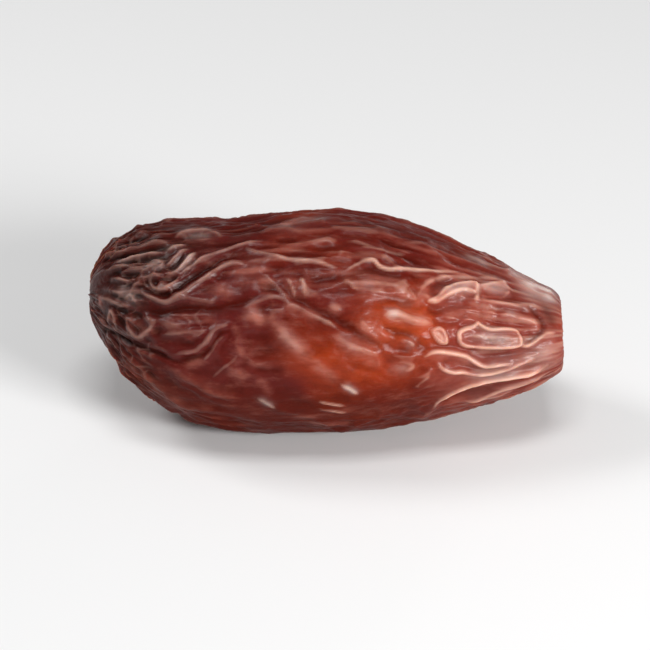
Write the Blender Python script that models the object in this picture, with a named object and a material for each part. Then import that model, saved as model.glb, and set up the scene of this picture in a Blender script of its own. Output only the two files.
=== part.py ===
"""A dried date of the long, wrinkled kind, lying on its side as one solid with its folded skin.

Millimetres until the last step, which scales the mesh to metres. The fruit lies along X, with the tip where
the flower was at -X and the flat scar of the stalk at +X. -Y is the front and +Z is up.
"""

import math

import bmesh
import bpy
import numpy as np

MM = 0.001

# Driving dimensions of the bare body, before its folds
LENGTH = 47.0
WIDTH = 22.6
HEIGHT = 21.2
FLATTENED = 0.6  # how much of the belly the surface that it lies on has pressed flat

# Half the side view of the bare body, from the tip over the back to the middle of the stalk's scar:
# distance from the tip and half thickness. Its proportions count, and the dimensions above set its size.
PROFILE = [
    (0.0, 0.0), (0.25, 2.6), (1.6, 4.9), (4.2, 7.4), (8.5, 9.4), (14.0, 10.3), (20.5, 10.75), (27.0, 10.6),
    (32.0, 9.65), (37.0, 8.05), (41.0, 6.75), (44.3, 5.3), (46.3, 4.3), (46.95, 3.5), (46.75, 2.5),
    (46.3, 1.3), (46.45, 0.6), (46.6, 0.0),
]  # fmt: skip

# How the middle of the body strays from a straight line: distance from the tip, backwards, upwards
BEND = [
    (0.0, 1.7, 2.3), (2.0, 1.3, 2.0), (5.0, 0.8, 1.2), (9.0, 0.45, 0.6), (14.0, 0.1, 0.2), (22.0, 0.0, 0.0),
    (31.0, 0.0, 0.0), (37.0, -0.5, -0.05), (41.0, -1.1, -0.1), (47.0, -1.4, -0.1),
]  # fmt: skip

# The folds of the front and top, each as height, half width, and points along it. A point is its distance
# from the tip and its angle round the body in degrees, from the top towards the front.
RIDGES = [
    # from the tip over the shoulder
    (0.50, 0.36, [(5.1, 42), (6.0, 45), (6.8, 47), (8.0, 49), (8.8, 47), (9.7, 43), (11.0, 36), (12.0, 32),
                  (13.0, 27), (13.8, 25), (14.8, 24), (16.0, 26)]),
    (0.42, 0.30, [(7.8, 32), (6.8, 33), (6.4, 36), (7.0, 41), (8.0, 41), (8.8, 36), (9.4, 31), (10.2, 26),
                  (11.6, 20), (13.4, 15), (15.5, 11), (18.0, 9)]),
    (0.30, 0.28, [(3.2, 50), (3.8, 46), (4.6, 48), (5.2, 53)]),
    (0.28, 0.26, [(3.8, 52), (4.4, 46), (5.0, 39), (5.8, 38)]),
    (0.26, 0.24, [(5.6, 25), (6.2, 21), (7.0, 20), (7.6, 24), (7.0, 27)]),
    (0.40, 0.26, [(8.4, 32), (9.0, 29), (9.8, 23), (10.5, 18), (10.8, 15)]),
    (0.36, 0.26, [(7.9, 26), (8.5, 22), (9.4, 16), (10.2, 12)]),
    (0.30, 0.26, [(7.8, 14), (8.6, 12), (9.2, 10), (9.8, 8)]),
    (0.34, 0.28, [(2.4, 22), (4.0, 24), (5.4, 22), (7.2, 23)]),
    (0.34, 0.26, [(2.6, 19), (4.2, 15), (5.6, 13), (7.0, 14), (8.0, 15)]),
    (0.34, 0.28, [(2.4, 10), (3.8, 8), (5.2, 5), (6.6, 4), (8.0, 6)]),
    (0.30, 0.26, [(3.4, 1), (5.0, -1), (6.6, -3), (8.6, -2)]),
    (0.32, 0.30, [(2.2, -6), (4.0, -11), (6.0, -13), (8.4, -15)]),
    (0.34, 0.30, [(2.4, 33), (4.0, 36), (5.6, 34), (7.2, 33)]),
    (0.34, 0.30, [(2.2, 45), (3.4, 47), (4.6, 44), (6.0, 42)]),
    (0.30, 0.26, [(3.2, 29), (4.6, 29), (5.8, 28)]),
    (0.34, 0.50, [(8.6, 1), (9.4, -4), (10.6, -8), (12.0, -7), (13.0, -2), (13.2, 2)]),
    (0.16, 0.40, [(9.4, 3), (10.6, 2), (12.4, 3)]),
    # small facets beside the tip
    (0.38, 0.34, [(4.1, 62), (4.3, 70), (5.2, 75), (6.0, 71), (6.8, 63), (6.0, 59)]),
    (0.36, 0.32, [(2.1, 80), (2.4, 70), (2.6, 65), (2.9, 71), (3.1, 79)]),
    (0.36, 0.40, [(3.2, 96), (4.6, 97), (5.6, 100), (6.6, 108)]),
    (0.30, 0.34, [(1.2, 56), (2.4, 55), (3.6, 57), (4.4, 54)]),
    # the cheek under the long crease
    (0.12, 0.24, [(8.0, 56), (10.0, 55), (12.4, 53)]),
    (0.12, 0.24, [(8.2, 62), (10.0, 60), (12.4, 57)]),
    (0.22, 0.28, [(7.4, 69), (9.0, 66), (11.0, 63), (12.3, 61)]),
    (0.30, 0.32, [(8.8, 79), (10.8, 74), (12.0, 68), (12.9, 61), (14.5, 57)]),
    (0.28, 0.30, [(11.6, 80), (12.5, 73), (13.3, 66), (14.2, 63)]),
    (0.20, 0.70, [(12.4, 92), (14.0, 84), (15.2, 74), (15.0, 66), (15.8, 60)]),
    (0.14, 0.70, [(14.0, 69), (15.4, 73), (16.8, 78), (18.6, 80)]),
    (0.22, 0.50, [(8.0, 90), (10.0, 92), (12.4, 99), (15.0, 103)]),
    (0.20, 0.90, [(15.6, 80), (17.2, 91), (17.6, 101), (18.8, 108), (21.0, 113)]),
    (0.30, 0.28, [(16.8, 99), (17.6, 102), (18.6, 107)]),
    (0.26, 0.26, [(24.9, 88), (25.8, 92), (26.8, 97)]),
    (0.24, 0.26, [(22.8, 101), (24.0, 103), (25.4, 105)]),
    (0.24, 0.26, [(22.8, 107), (24.2, 109), (25.6, 112)]),
    # the middle
    (0.30, 1.00, [(18.2, 52), (19.0, 59), (20.5, 67), (22.0, 73), (24.0, 80), (25.6, 88), (27.2, 95)]),
    (0.22, 0.40, [(17.6, 48), (21.0, 52), (22.4, 55)]),
    (0.26, 0.60, [(24.0, 60), (25.2, 65), (26.6, 69), (28.0, 72), (29.0, 71)]),
    (0.20, 0.35, [(26.6, 57), (27.6, 61), (28.8, 65)]),
    (0.22, 0.30, [(19.8, 33), (20.3, 38), (20.6, 43)]),
    (0.24, 0.28, [(21.1, 33), (21.5, 38), (21.6, 43)]),
    (0.26, 0.45, [(30.8, 65), (31.6, 66), (32.2, 69)]),
    (0.26, 0.55, [(30.2, 79), (31.0, 78), (32.0, 81), (31.2, 85)]),
    (0.24, 0.40, [(32.2, 96), (33.0, 92), (33.6, 88)]),
    # along the top
    (0.32, 0.36, [(15.6, 13), (16.8, 17), (18.0, 20), (19.0, 22), (20.5, 24), (22.0, 25), (23.4, 26),
                  (24.8, 28)]),
    (0.32, 0.34, [(25.4, 29), (26.4, 26), (27.4, 23), (28.1, 22), (28.8, 25), (30.0, 26), (31.4, 24),
                  (33.0, 22), (35.0, 18), (37.0, 14)]),
    (0.13, 0.26, [(17.2, 14), (19.0, 16), (21.0, 18), (24.4, 19), (27.0, 18)]),
    (0.12, 0.26, [(17.0, 8), (18.6, 12), (21.0, 14), (24.0, 16)]),
    (0.20, 0.60, [(20.6, 7), (21.6, 10), (24.0, 12), (27.0, 12), (29.0, 14), (31.0, 13), (34.0, 7)]),
    (0.14, 0.40, [(22.0, 1), (25.0, 2), (28.0, 4), (31.0, 4), (34.0, -1)]),
    (0.14, 0.36, [(14.0, 3), (17.0, 2), (20.0, 3), (23.0, 7)]),
    (0.14, 0.40, [(14.0, -8), (18.0, -6), (24.0, -6), (30.0, -6), (36.0, -12)]),
    (0.26, 0.80, [(25.0, 35), (27.0, 36), (29.0, 35), (31.0, 37), (32.4, 42)]),
    (0.30, 0.40, [(32.4, 41), (33.0, 34), (33.6, 30), (34.4, 26), (35.6, 21), (37.4, 17), (39.4, 11)]),
    (0.18, 0.50, [(17.0, 33), (18.2, 35), (19.2, 40), (20.2, 45)]),
    # crowded towards the stalk's scar
    (0.24, 0.26, [(38.4, 20), (38.5, 28), (38.2, 36)]),
    (0.40, 0.36, [(38.6, 23), (39.6, 18), (41.0, 12), (41.6, 16)]),
    (0.50, 0.60, [(29.2, 52), (30.2, 51), (32.0, 54), (34.0, 55)]),
    (0.10, 0.20, [(37.4, 62), (39.6, 62), (41.8, 61)]),
    (0.12, 0.24, [(38.6, 12), (41.0, 9), (41.8, 16)]),
    (0.46, 0.30, [(32.8, 77), (34.1, 73), (35.6, 74), (37.2, 77), (38.2, 82), (39.1, 86), (40.4, 86),
                  (42.2, 87)]),
    (0.42, 0.26, [(34.3, 79), (35.0, 85), (36.0, 88), (37.0, 89), (38.0, 92), (39.4, 93), (41.0, 91),
                  (42.6, 87), (44.2, 84)]),
    (0.52, 0.30, [(34.1, 121), (34.5, 114), (35.4, 108), (37.1, 103), (38.6, 100), (41.0, 99), (43.9, 99),
                  (45.6, 96)]),
    (0.36, 0.34, [(37.0, 124), (39.2, 117), (40.6, 113), (42.4, 113), (44.5, 113)]),
    (0.40, 0.30, [(42.6, 70), (43.2, 70), (44.2, 65), (45.0, 59), (46.2, 57)]),
    (0.40, 0.45, [(40.4, 45), (41.4, 42), (42.4, 43), (43.9, 46), (44.6, 53)]),
    (0.35, 0.45, [(39.0, 42), (39.6, 36), (41.0, 33), (43.0, 30), (45.0, 26)]),
]  # fmt: skip
# Flat-topped rises near the scar, each as height, half width of its edge, and its outline
PLATEAUS = [
    (0.40, 0.14, [(36.7, 69), (36.5, 67), (36.5, 60), (37.0, 57), (38.0, 54), (38.4, 51), (38.9, 53),
                  (39.6, 55), (41.4, 53), (42.3, 55), (42.7, 60), (42.8, 68), (42.5, 71), (40.0, 72),
                  (37.4, 71), (36.7, 69)]),
    (0.40, 0.20, [(33.5, 42), (34.4, 37), (35.1, 31), (36.2, 25), (37.2, 22), (38.4, 20), (38.3, 29),
                  (37.3, 29), (36.2, 33), (35.2, 38), (34.4, 42), (33.5, 42)]),
    (0.34, 0.18, [(33.7, 59), (34.7, 57), (35.3, 61), (35.4, 68), (34.7, 68), (34.1, 64), (33.7, 59)]),
    (0.26, 0.25, [(38.7, 23), (39.6, 18), (41.2, 11), (41.8, 17), (41.2, 26), (40.0, 30), (38.8, 31),
                  (38.7, 23)]),
    (0.30, 0.35, [(29.0, 52), (30.0, 49), (31.6, 52), (33.8, 52), (34.0, 56), (32.0, 57), (30.0, 55),
                  (29.0, 52)]),
    (0.22, 0.35, [(25.2, 34), (26.6, 31), (29.0, 30), (31.4, 34), (32.4, 42), (30.5, 41), (28.0, 41),
                  (26.0, 39), (25.2, 34)]),
    (0.40, 0.80, [(41.0, -6), (42.0, -16), (44.0, -18), (45.8, -10), (46.0, 4), (44.8, 12), (43.2, 9),
                  (41.8, 2), (41.0, -6)]),
]  # fmt: skip
CREASES = [
    # the long crease from the tip across the front
    (0.34, 0.55, [(2.2, 56), (6.6, 58), (8.5, 54), (10.0, 51), (12.0, 50), (14.0, 48), (16.0, 45), (17.2, 41),
                  (18.4, 39), (19.4, 40), (20.6, 44), (22.0, 48), (24.0, 53), (26.0, 59), (28.0, 65),
                  (29.5, 68), (31.0, 71)]),
    (0.25, 0.50, [(28.6, 57), (30.4, 61), (32.2, 66), (33.2, 71)]),
    # between the shoulder's ridges
    (0.45, 0.34, [(6.4, 43), (8.0, 44), (9.1, 40), (10.4, 33), (11.8, 27), (13.2, 21), (15.0, 17)]),
    (0.35, 0.28, [(7.2, 35), (8.4, 35), (9.5, 31), (10.5, 24), (11.2, 19)]),
    (0.30, 0.26, [(8.2, 27), (9.0, 23), (9.8, 17)]),
    (0.30, 0.28, [(3.0, 12), (4.6, 11), (6.4, 10), (8.0, 10)]),
    (0.26, 0.26, [(3.2, 19), (5.0, 19), (6.8, 18), (8.0, 19)]),
    # from the notch under the tip
    (0.50, 0.35, [(1.4, 110), (1.6, 96), (2.6, 89), (4.1, 85), (5.9, 83), (7.4, 82), (9.5, 84)]),
    (0.26, 0.30, [(9.6, 80), (11.2, 77), (12.6, 70), (13.4, 62)]),
    # along the top
    (0.18, 0.40, [(18.0, 27), (20.0, 30), (22.0, 31), (25.0, 31), (28.0, 27), (32.0, 24), (36.0, 16),
                  (38.0, 12)]),
    (0.14, 0.35, [(16.0, 11), (20.0, 17), (24.0, 21), (28.0, 17), (32.0, 11), (35.0, 4)]),
    (0.14, 0.40, [(15.0, -2), (19.0, 3), (24.0, 7), (29.0, 5), (34.0, -3)]),
    # crowded towards the stalk's scar
    (0.35, 0.34, [(33.6, 33), (35.0, 26), (37.0, 19), (39.0, 14)]),
    (0.35, 0.34, [(34.2, 47), (36.0, 42), (37.6, 41)]),
    (0.14, 0.18, [(37.2, 58), (38.6, 55), (40.0, 58), (42.0, 57)]),
    (0.12, 0.18, [(37.2, 66), (39.6, 67), (42.0, 66)]),
    (0.18, 0.50, [(34.2, 54), (36.0, 52), (37.6, 47), (39.4, 49), (42.4, 49), (43.4, 57), (43.4, 64)]),
    (0.20, 0.60, [(36.4, 74), (38.0, 75), (40.0, 76), (42.0, 77), (43.6, 77)]),
    (0.26, 0.34, [(35.4, 80), (37.0, 84), (38.4, 89), (40.0, 90), (41.6, 88)]),
    (0.45, 0.42, [(35.0, 119), (35.8, 112), (37.2, 109), (39.4, 108), (42.0, 106)]),
    (0.25, 0.30, [(44.4, 36), (44.9, 45), (45.4, 54), (46.2, 50)]),
]  # fmt: skip

# Long folds over the back and the underside, laid by a rule: how many, first and last angle, height, half width
BACK_FOLDS = (15, 138, 334, 0.55, 0.60)

# The skin's own wrinkles between those folds: how many ridges fit round the body, and their height
BROAD_WRINKLES = (7.5, 0.46)
MIDDLE_WRINKLES = (14, 0.22)
LONG_WRINKLES = (9, 0.36)  # along the top
TIP_PLEATS = (44, 0.26)
SCAR_PLEATS = (34, 0.22)
LUMPS = 0.22

# Where the skin lies smoother: how much, then the middle and the reach of its angle and of its distance
CALM = [
    (0.85, 98, 42, 22.0, 12.0),  # the lower cheek
    (0.60, 70, 48, 43.0, 8.0),  # between the folds near the scar
    (0.95, -5, 34, 43.5, 3.5),  # the facet above the scar
    (0.50, -25, 25, 36.0, 6.0),  # behind that facet
]

# The relief is worked out on a grid of the whole skin, and the solid's points read it
GRID_ALONG, GRID_ROUND = 512, 768
NEAR_A_FOLD = 9.0  # waves round the body
SMOOTH_ENDS = 0.045  # share of the skin's length over which the relief dies out at the tip and in the scar
PRESSED_BELOW = 2.5  # the relief dies out under this height, where the belly is pressed on the surface
FINEST_ALONG, FINEST_ROUND = 18, 44  # waves on the grid that the solid's points still carry
NARROWEST = 0.55  # half width of a fold that they still carry
FIRMER = 1.4  # makes up for what is too fine for them
FOLDS_FIRMER = 1.35  # the same for the folds, apart from those near the scar
SEGMENTS_ALONG, SEGMENTS_ROUND = 57, 104

SKIN_COLOUR = (0.17, 0.026, 0.014, 1.0)
SKIN_ROUGHNESS = 0.4


def smooth_line(points, count):
    """A line through the points, with count samples evenly spaced along it (a Catmull-Rom curve)."""
    p = np.array(points, float)
    p = np.vstack([2 * p[0] - p[1], p, 2 * p[-1] - p[-2]])
    step = np.sqrt(np.maximum(np.linalg.norm(np.diff(p, axis=0), axis=1), 1e-9))
    pieces = []
    for i in range(1, len(p) - 2):
        k0, k1 = 0.0, step[i - 1]
        k2, k3 = k1 + step[i], k1 + step[i] + step[i + 1]
        k = np.linspace(k1, k2, 60)[:, None]
        a = ((k1 - k) * p[i - 1] + (k - k0) * p[i]) / (k1 - k0)
        b = ((k2 - k) * p[i] + (k - k1) * p[i + 1]) / (k2 - k1)
        c = ((k3 - k) * p[i + 1] + (k - k2) * p[i + 2]) / (k3 - k2)
        ab = ((k2 - k) * a + (k - k0) * b) / (k2 - k0)
        bc = ((k3 - k) * b + (k - k1) * c) / (k3 - k1)
        pieces.append(((k2 - k) * ab + (k - k1) * bc) / (k2 - k1))
    line = np.vstack(pieces)
    run = np.concatenate([[0.0], np.cumsum(np.linalg.norm(np.diff(line, axis=0), axis=1))])
    even = np.linspace(0.0, run[-1], count)
    return np.stack([np.interp(even, run, line[:, i]) for i in range(line.shape[1])], axis=1)


SIDE = smooth_line(PROFILE, 1200)
SHARE = np.linspace(0.0, 1.0, len(SIDE))  # of the way from the tip to the middle of the scar
SKIN_LENGTH = np.linalg.norm(np.diff(SIDE, axis=0), axis=1).sum()
DRAWN_LENGTH, DRAWN_HALF = SIDE[:, 0].max(), SIDE[:, 1].max()
MIDDLE = smooth_line(BEND, 400)


def share_at(x):
    """The share of the skin's length at which the back is x from the tip."""
    rim = int(np.argmax(SIDE[:, 0])) + 1
    return np.interp(x, SIDE[:rim, 0], SHARE[:rim])


def radius_at(share):
    return np.maximum(np.interp(share, SHARE, SIDE[:, 1]), 0.0)


def bare_point(share, angle):
    """A point of the body without its folds."""
    x = np.interp(share, SHARE, SIDE[:, 0])
    back = np.interp(x, MIDDLE[:, 0], MIDDLE[:, 1])
    up = np.interp(x, MIDDLE[:, 0], MIDDLE[:, 2])
    r = radius_at(share) / DRAWN_HALF
    y = back - r * WIDTH / 2 * math.sin(angle)
    z = HEIGHT / 2 - FLATTENED + up + r * HEIGHT / 2 * math.cos(angle)
    return x * LENGTH / DRAWN_LENGTH, y, z


def stamp(field, height, half_width, points):
    """Raises a pinched ridge along the points, which dies out at both ends unless it closes on itself."""
    half_width = max(half_width, NARROWEST)
    rows, columns = field.shape
    row_step, column_step = SKIN_LENGTH / (rows - 1), math.tau / columns
    shares = share_at(np.array([x for x, _ in points]))
    mean_radius = radius_at(shares).mean()
    flat = [(s * SKIN_LENGTH, math.radians(a) * mean_radius) for s, (_, a) in zip(shares, points)]
    line = smooth_line(flat, 26 * len(points))
    run = np.linspace(0.0, 1.0, len(line))
    fade = np.clip(5 * np.minimum(run, 1 - run), 0, 1) ** 0.6
    if points[0] == points[-1]:
        fade[:] = 1.0
    crest = 0.25 * half_width  # how round the ridge's crest is
    reach = 3 * half_width
    for (m, arc), strength in zip(line, fade):
        angle = arc / mean_radius
        r = max(float(radius_at(m / SKIN_LENGTH)), 1.0)
        i = np.arange(max(int((m - reach) / row_step), 0), min(int((m + reach) / row_step) + 2, rows))
        half = int(reach / r / column_step) + 1
        j = round(angle / column_step) + np.arange(-half, half + 1)
        away2 = ((i * row_step - m) ** 2)[:, None] + (((j * column_step - angle) * r) ** 2)[None]
        away = np.sqrt(away2 + crest**2) - crest
        block = np.ix_(i, j % columns)
        raised = height * strength * np.exp(-away / (0.75 * half_width))
        field[block] = np.maximum(field[block], raised)


def raise_plateau(field, height, edge, points):
    """Raises what lies inside the outline through the points."""
    rows, columns = field.shape
    row_step, column_step = SKIN_LENGTH / (rows - 1), math.tau / columns
    shares = share_at(np.array([x for x, _ in points]))
    mean_radius = radius_at(shares).mean()
    flat = [(s * SKIN_LENGTH, math.radians(a) * mean_radius) for s, (_, a) in zip(shares, points)]
    outline = smooth_line(flat, 16 * len(points))
    first, last = outline.min(axis=0) - 1.0, outline.max(axis=0) + 1.0
    i = np.arange(int(first[0] / row_step), min(int(last[0] / row_step) + 2, rows))
    j = np.arange(int(first[1] / mean_radius / column_step), int(last[1] / mean_radius / column_step) + 2)
    along, around = np.meshgrid(i * row_step, j * column_step * mean_radius, indexing="ij")
    inside, away = np.zeros(along.shape, bool), np.full(along.shape, np.inf)
    for (m0, arc0), (m1, arc1) in zip(outline, np.roll(outline, -1, axis=0)):
        away = np.minimum(away, np.hypot(along - m0, around - arc0))
        crosses = (arc0 > around) != (arc1 > around)
        if crosses.any():
            inside ^= crosses & (along < m0 + (m1 - m0) * (around - arc0) / (arc1 - arc0))
    block = np.ix_(i, j % columns)
    raised = height * ramp(np.where(inside, away, -away), -edge, edge)
    field[block] = np.maximum(field[block], raised)


def back_folds():
    """Long wandering ridges over the side that the front folds leave free."""
    count, first, last, height, half_width = BACK_FOLDS
    random = np.random.default_rng(21)
    for i in range(count):
        middle = first + (last - first) * (i + 0.5 + random.uniform(-0.3, 0.3)) / count
        xs = np.linspace(random.uniform(3, 14), random.uniform(26, 44), 6)
        sway = np.cumsum(random.uniform(-7, 7, len(xs)))
        size = random.uniform(0.6, 1.15)
        yield height * size, half_width * random.uniform(0.7, 1.3), list(zip(xs, middle + sway - sway.mean()))


def filtered(field, keep):
    return np.fft.ifft2(np.fft.fft2(field) * keep).real


def waves():
    """Waves over the skin's length and round it, the first made comparable with the second."""
    square = SKIN_LENGTH / (math.tau * 0.8 * DRAWN_HALF)
    along = np.fft.fftfreq(GRID_ALONG, 1 / GRID_ALONG)[:, None] / square
    return along, np.fft.fftfreq(GRID_ROUND, 1 / GRID_ROUND)[None]


def noise(count, seed, stretch=1.0, spread=None):
    """Random waves, count of them round the body, longer along it if stretch is under 1.

    With a spread, only waves of about that length are kept, and without one the longer ones too.
    """
    along, around = waves()
    size = np.hypot(along / stretch, around) / count
    keep = np.exp(-(size**2)) if spread is None else np.exp(-((np.log(np.maximum(size, 1e-6)) / spread) ** 2))
    field = filtered(np.random.default_rng(seed).standard_normal((GRID_ALONG, GRID_ROUND)), keep)
    return field / field.std()


def pinched(field, width, crest):
    """Narrow ridges along the lines where the field is zero, with smooth hollows between them."""
    raised = np.exp(-(np.sqrt(field**2 + crest**2) - crest) / width)
    return raised - raised.mean()


def wrinkles(count, seed, stretch, width):
    return pinched(noise(count, seed, stretch, 0.45), width, 0.15)


def pleats(count, seed, wander):
    """Pleats that run lengthwise into an end."""
    angle = np.arange(GRID_ROUND) * math.tau / GRID_ROUND
    return pinched(np.sin(angle * count / 2 + wander * noise(5, seed, 0.5)), 0.35, 0.1)


def hump(value, centre, half_length):
    return np.exp(-(((value - centre) / half_length) ** 2))


def ramp(value, low, high):
    k = np.clip((value - low) / (high - low), 0, 1)
    return k * k * (3 - 2 * k)


def laid_folds():
    """The folds laid one by one, on the grid."""
    up, down = np.zeros((2, GRID_ALONG, GRID_ROUND))
    for fold in RIDGES + list(back_folds()):
        stamp(up, *fold)
    for plateau in PLATEAUS:
        raise_plateau(up, *plateau)
    for fold in CREASES:
        stamp(down, *fold)
    return up - down


def skin_wrinkles(x, from_top):
    """The wrinkles between the folds, on the grid, from each point's distance from the tip and its angle."""
    tip, scar = 1 - ramp(x, 6, 16), ramp(x, 31, 40)
    top = hump(from_top, -10, 50) * (1 - tip)
    calm = np.ones((GRID_ALONG, GRID_ROUND))
    for amount, angle, angle_reach, distance, distance_reach in CALM:
        calm *= 1 - amount * hump(from_top, angle, angle_reach) * hump(x, distance, distance_reach)
    patches, drift = noise(9, 14), noise(4.5, 11)
    patchy = np.clip(1 + 0.7 * patches, 0.1, 2)
    count, height = BROAD_WRINKLES
    broad = height * calm * (1 - 0.5 * top) * np.clip(1 + 0.5 * drift, 0.3, 2) * wrinkles(count, 4, 0.55, 0.7)
    count, height = MIDDLE_WRINKLES
    broad += height * calm * patchy * wrinkles(count, 3, 0.6, 0.6)
    count, height = LONG_WRINKLES
    broad += height * calm * top * wrinkles(count, 8, 0.16, 0.5)
    count, height = TIP_PLEATS
    broad += height * tip * patchy * (1 - 0.6 * hump(from_top, 105, 35)) * pleats(count, 31, 3.2)
    count, height = SCAR_PLEATS
    return broad + height * calm * scar * patchy * pleats(count, 32, 2.6)


def skin_relief():
    """How far the skin stands out of the bare body, on the grid."""
    folds = laid_folds()
    along, around = waves()
    near = filtered(np.abs(folds), np.exp(-((along**2 + around**2) / NEAR_A_FOLD**2)))
    free = 1 - 0.5 * np.clip(4 * near, 0, 1)  # few wrinkles close to a fold
    share = np.linspace(0, 1, GRID_ALONG)[:, None]
    x = np.interp(share, SHARE, SIDE[:, 0])
    r = radius_at(share)
    from_top = (np.arange(GRID_ROUND) * 360 / GRID_ROUND + 180) % 360 - 180
    slim = np.clip(r / 7.5, 0, 1) ** 0.8  # lower where the body is slim
    firm = FOLDS_FIRMER + (1 - FOLDS_FIRMER) * ramp(x, 31, 40)
    relief = firm * folds * np.clip(r / 3, 0, 1) + LUMPS * noise(2.7, 13)
    relief += slim * free * skin_wrinkles(x, from_top)
    from_end = ramp(np.minimum(share, 1 - share), 0.0, SMOOTH_ENDS)
    return relief * from_end * (1 - 0.6 * ramp(x, 43.5, 46))


def softened(field):
    """The field without what is too fine for the solid's points to carry."""
    along = np.fft.fftfreq(GRID_ALONG, 1 / GRID_ALONG)[:, None]
    around = np.fft.fftfreq(GRID_ROUND, 1 / GRID_ROUND)[None]
    return filtered(field, np.exp(-((along / FINEST_ALONG) ** 2) - (around / FINEST_ROUND) ** 2))


def read(field, share, angle):
    """The field at a share of the skin's length and an angle, between its four nearest points."""
    rows, columns = field.shape
    a, b = share * (rows - 1), (angle / math.tau % 1.0) * columns
    i, j = min(int(a), rows - 2), int(b)
    a, b = a - i, b - j
    j, k = j % columns, (j + 1) % columns
    upper = field[i, j] * (1 - b) + field[i, k] * b
    lower = field[i + 1, j] * (1 - b) + field[i + 1, k] * b
    return upper * (1 - a) + lower * a


def crowded(share):
    """Brings the rings of points closer together at both ends."""
    return share - 0.06 * math.sin(math.tau * share)


def place_skin(mesh):
    """Moves a unit sphere's points onto the date: its pole at +Z becomes the scar, the other one the tip."""
    relief = FIRMER * softened(skin_relief())
    places = {}
    for vert in mesh.verts:
        share = crowded(1 - math.acos(max(-1.0, min(1.0, vert.co.z))) / math.pi)
        places[vert] = share, math.atan2(vert.co.y, vert.co.x)
    for vert, place in places.items():
        vert.co = bare_point(*place)
    mesh.normal_update()
    moved = {}
    for vert, place in places.items():
        free = np.clip(vert.co.z / PRESSED_BELOW, 0, 1)
        moved[vert] = vert.co + vert.normal * float(read(relief, *place) * free)
    for vert, spot in moved.items():
        vert.co = spot
        vert.co.z = max(spot.z, 0.0)


def stand_on_origin(mesh):
    """Puts the middle of the body's box over the origin."""
    for axis in (0, 1):
        values = [vert.co[axis] for vert in mesh.verts]
        middle = (min(values) + max(values)) / 2
        for vert in mesh.verts:
            vert.co[axis] -= middle


def skin_material():
    material = bpy.data.materials.new("date_skin")
    material.use_nodes = True
    shader = material.node_tree.nodes["Principled BSDF"]
    shader.inputs["Base Color"].default_value = SKIN_COLOUR
    shader.inputs["Roughness"].default_value = SKIN_ROUGHNESS
    shader.inputs["Metallic"].default_value = 0.0
    return material


def make_date(collection):
    shape = bmesh.new()
    bmesh.ops.create_uvsphere(shape, u_segments=SEGMENTS_ROUND, v_segments=SEGMENTS_ALONG, radius=1.0)
    place_skin(shape)
    stand_on_origin(shape)
    bmesh.ops.scale(shape, vec=(MM, MM, MM), verts=shape.verts)
    mesh = bpy.data.meshes.new("date")
    shape.to_mesh(mesh)
    shape.free()
    mesh.shade_smooth()
    mesh.materials.append(skin_material())
    date = bpy.data.objects.new("date", mesh)
    collection.objects.link(date)
    return date


def main():
    for old in list(bpy.data.objects):
        bpy.data.objects.remove(old)
    collection = bpy.data.collections.new("mabroom_date")
    bpy.context.scene.collection.children.link(collection)
    make_date(collection)


main()
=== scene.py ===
import math

import bmesh
import bpy
import numpy as np
from mathutils import Matrix, Vector


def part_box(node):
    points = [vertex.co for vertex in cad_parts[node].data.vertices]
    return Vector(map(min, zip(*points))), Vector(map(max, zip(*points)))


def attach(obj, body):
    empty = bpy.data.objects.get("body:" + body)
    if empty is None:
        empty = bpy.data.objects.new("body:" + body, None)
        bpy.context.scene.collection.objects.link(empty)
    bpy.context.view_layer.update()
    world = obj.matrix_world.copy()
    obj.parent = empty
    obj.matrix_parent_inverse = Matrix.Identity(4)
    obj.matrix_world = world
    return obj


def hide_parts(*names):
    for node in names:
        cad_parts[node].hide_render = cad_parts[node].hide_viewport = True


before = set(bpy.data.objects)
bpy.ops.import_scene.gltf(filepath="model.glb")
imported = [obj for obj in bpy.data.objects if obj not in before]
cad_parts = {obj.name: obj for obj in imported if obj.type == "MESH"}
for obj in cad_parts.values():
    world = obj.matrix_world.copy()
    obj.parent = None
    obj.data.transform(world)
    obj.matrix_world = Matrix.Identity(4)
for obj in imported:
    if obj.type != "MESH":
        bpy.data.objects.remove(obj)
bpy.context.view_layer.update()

mm = 0.001
turn = math.tau
nearlyZero = 1e-9

# the bare fruit: x runs along it in mm from the tip, angles go round it in degrees from the top to the front
fruit = {
    "length": 47.0,
    "width": 22.6,
    "height": 21.2,
    "flattened": 0.6,      # how much of the belly is pressed flat
    "meanGirth": 0.8,      # as a part of the greatest
    "sideSamples": 1200,
    "middleSamples": 400,
    "pointsRound": 288,
    "pointsAlong": 336,
    "crowding": 0.02,      # brings the points closer together at both ends
    "crowdingRound": 0.3,  # and on the front
    "crowdedAt": 1.0,      # the middle of the front, in radians
    "gridAlong": 512,      # the grid on which the folds are worked out
    "gridRound": 768,
}

# half the side view: distance from the tip, half thickness
sideView = [
    (0.0, 0.0), (0.03, 1.3), (0.25, 2.6), (1.6, 4.9), (4.2, 7.4), (8.5, 9.4), (14.0, 10.3), (20.5, 10.75),
    (27.0, 10.6), (32.0, 9.65), (37.0, 8.05), (41.0, 6.75), (44.3, 5.3), (46.3, 4.3), (46.95, 3.5),
    (46.75, 2.5), (46.3, 1.3), (46.45, 0.6), (46.6, 0.0),
]

# how the middle strays from a straight line: distance from the tip, backwards, upwards
bend = [
    (0.0, 1.7, 2.3), (2.0, 1.3, 2.0), (5.0, 0.8, 1.2), (9.0, 0.45, 0.6), (14.0, 0.1, 0.2), (22.0, 0.0, 0.0),
    (31.0, 0.0, 0.0), (37.0, -0.5, -0.05), (41.0, -1.1, -0.1), (47.0, -1.4, -0.1),
]


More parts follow.
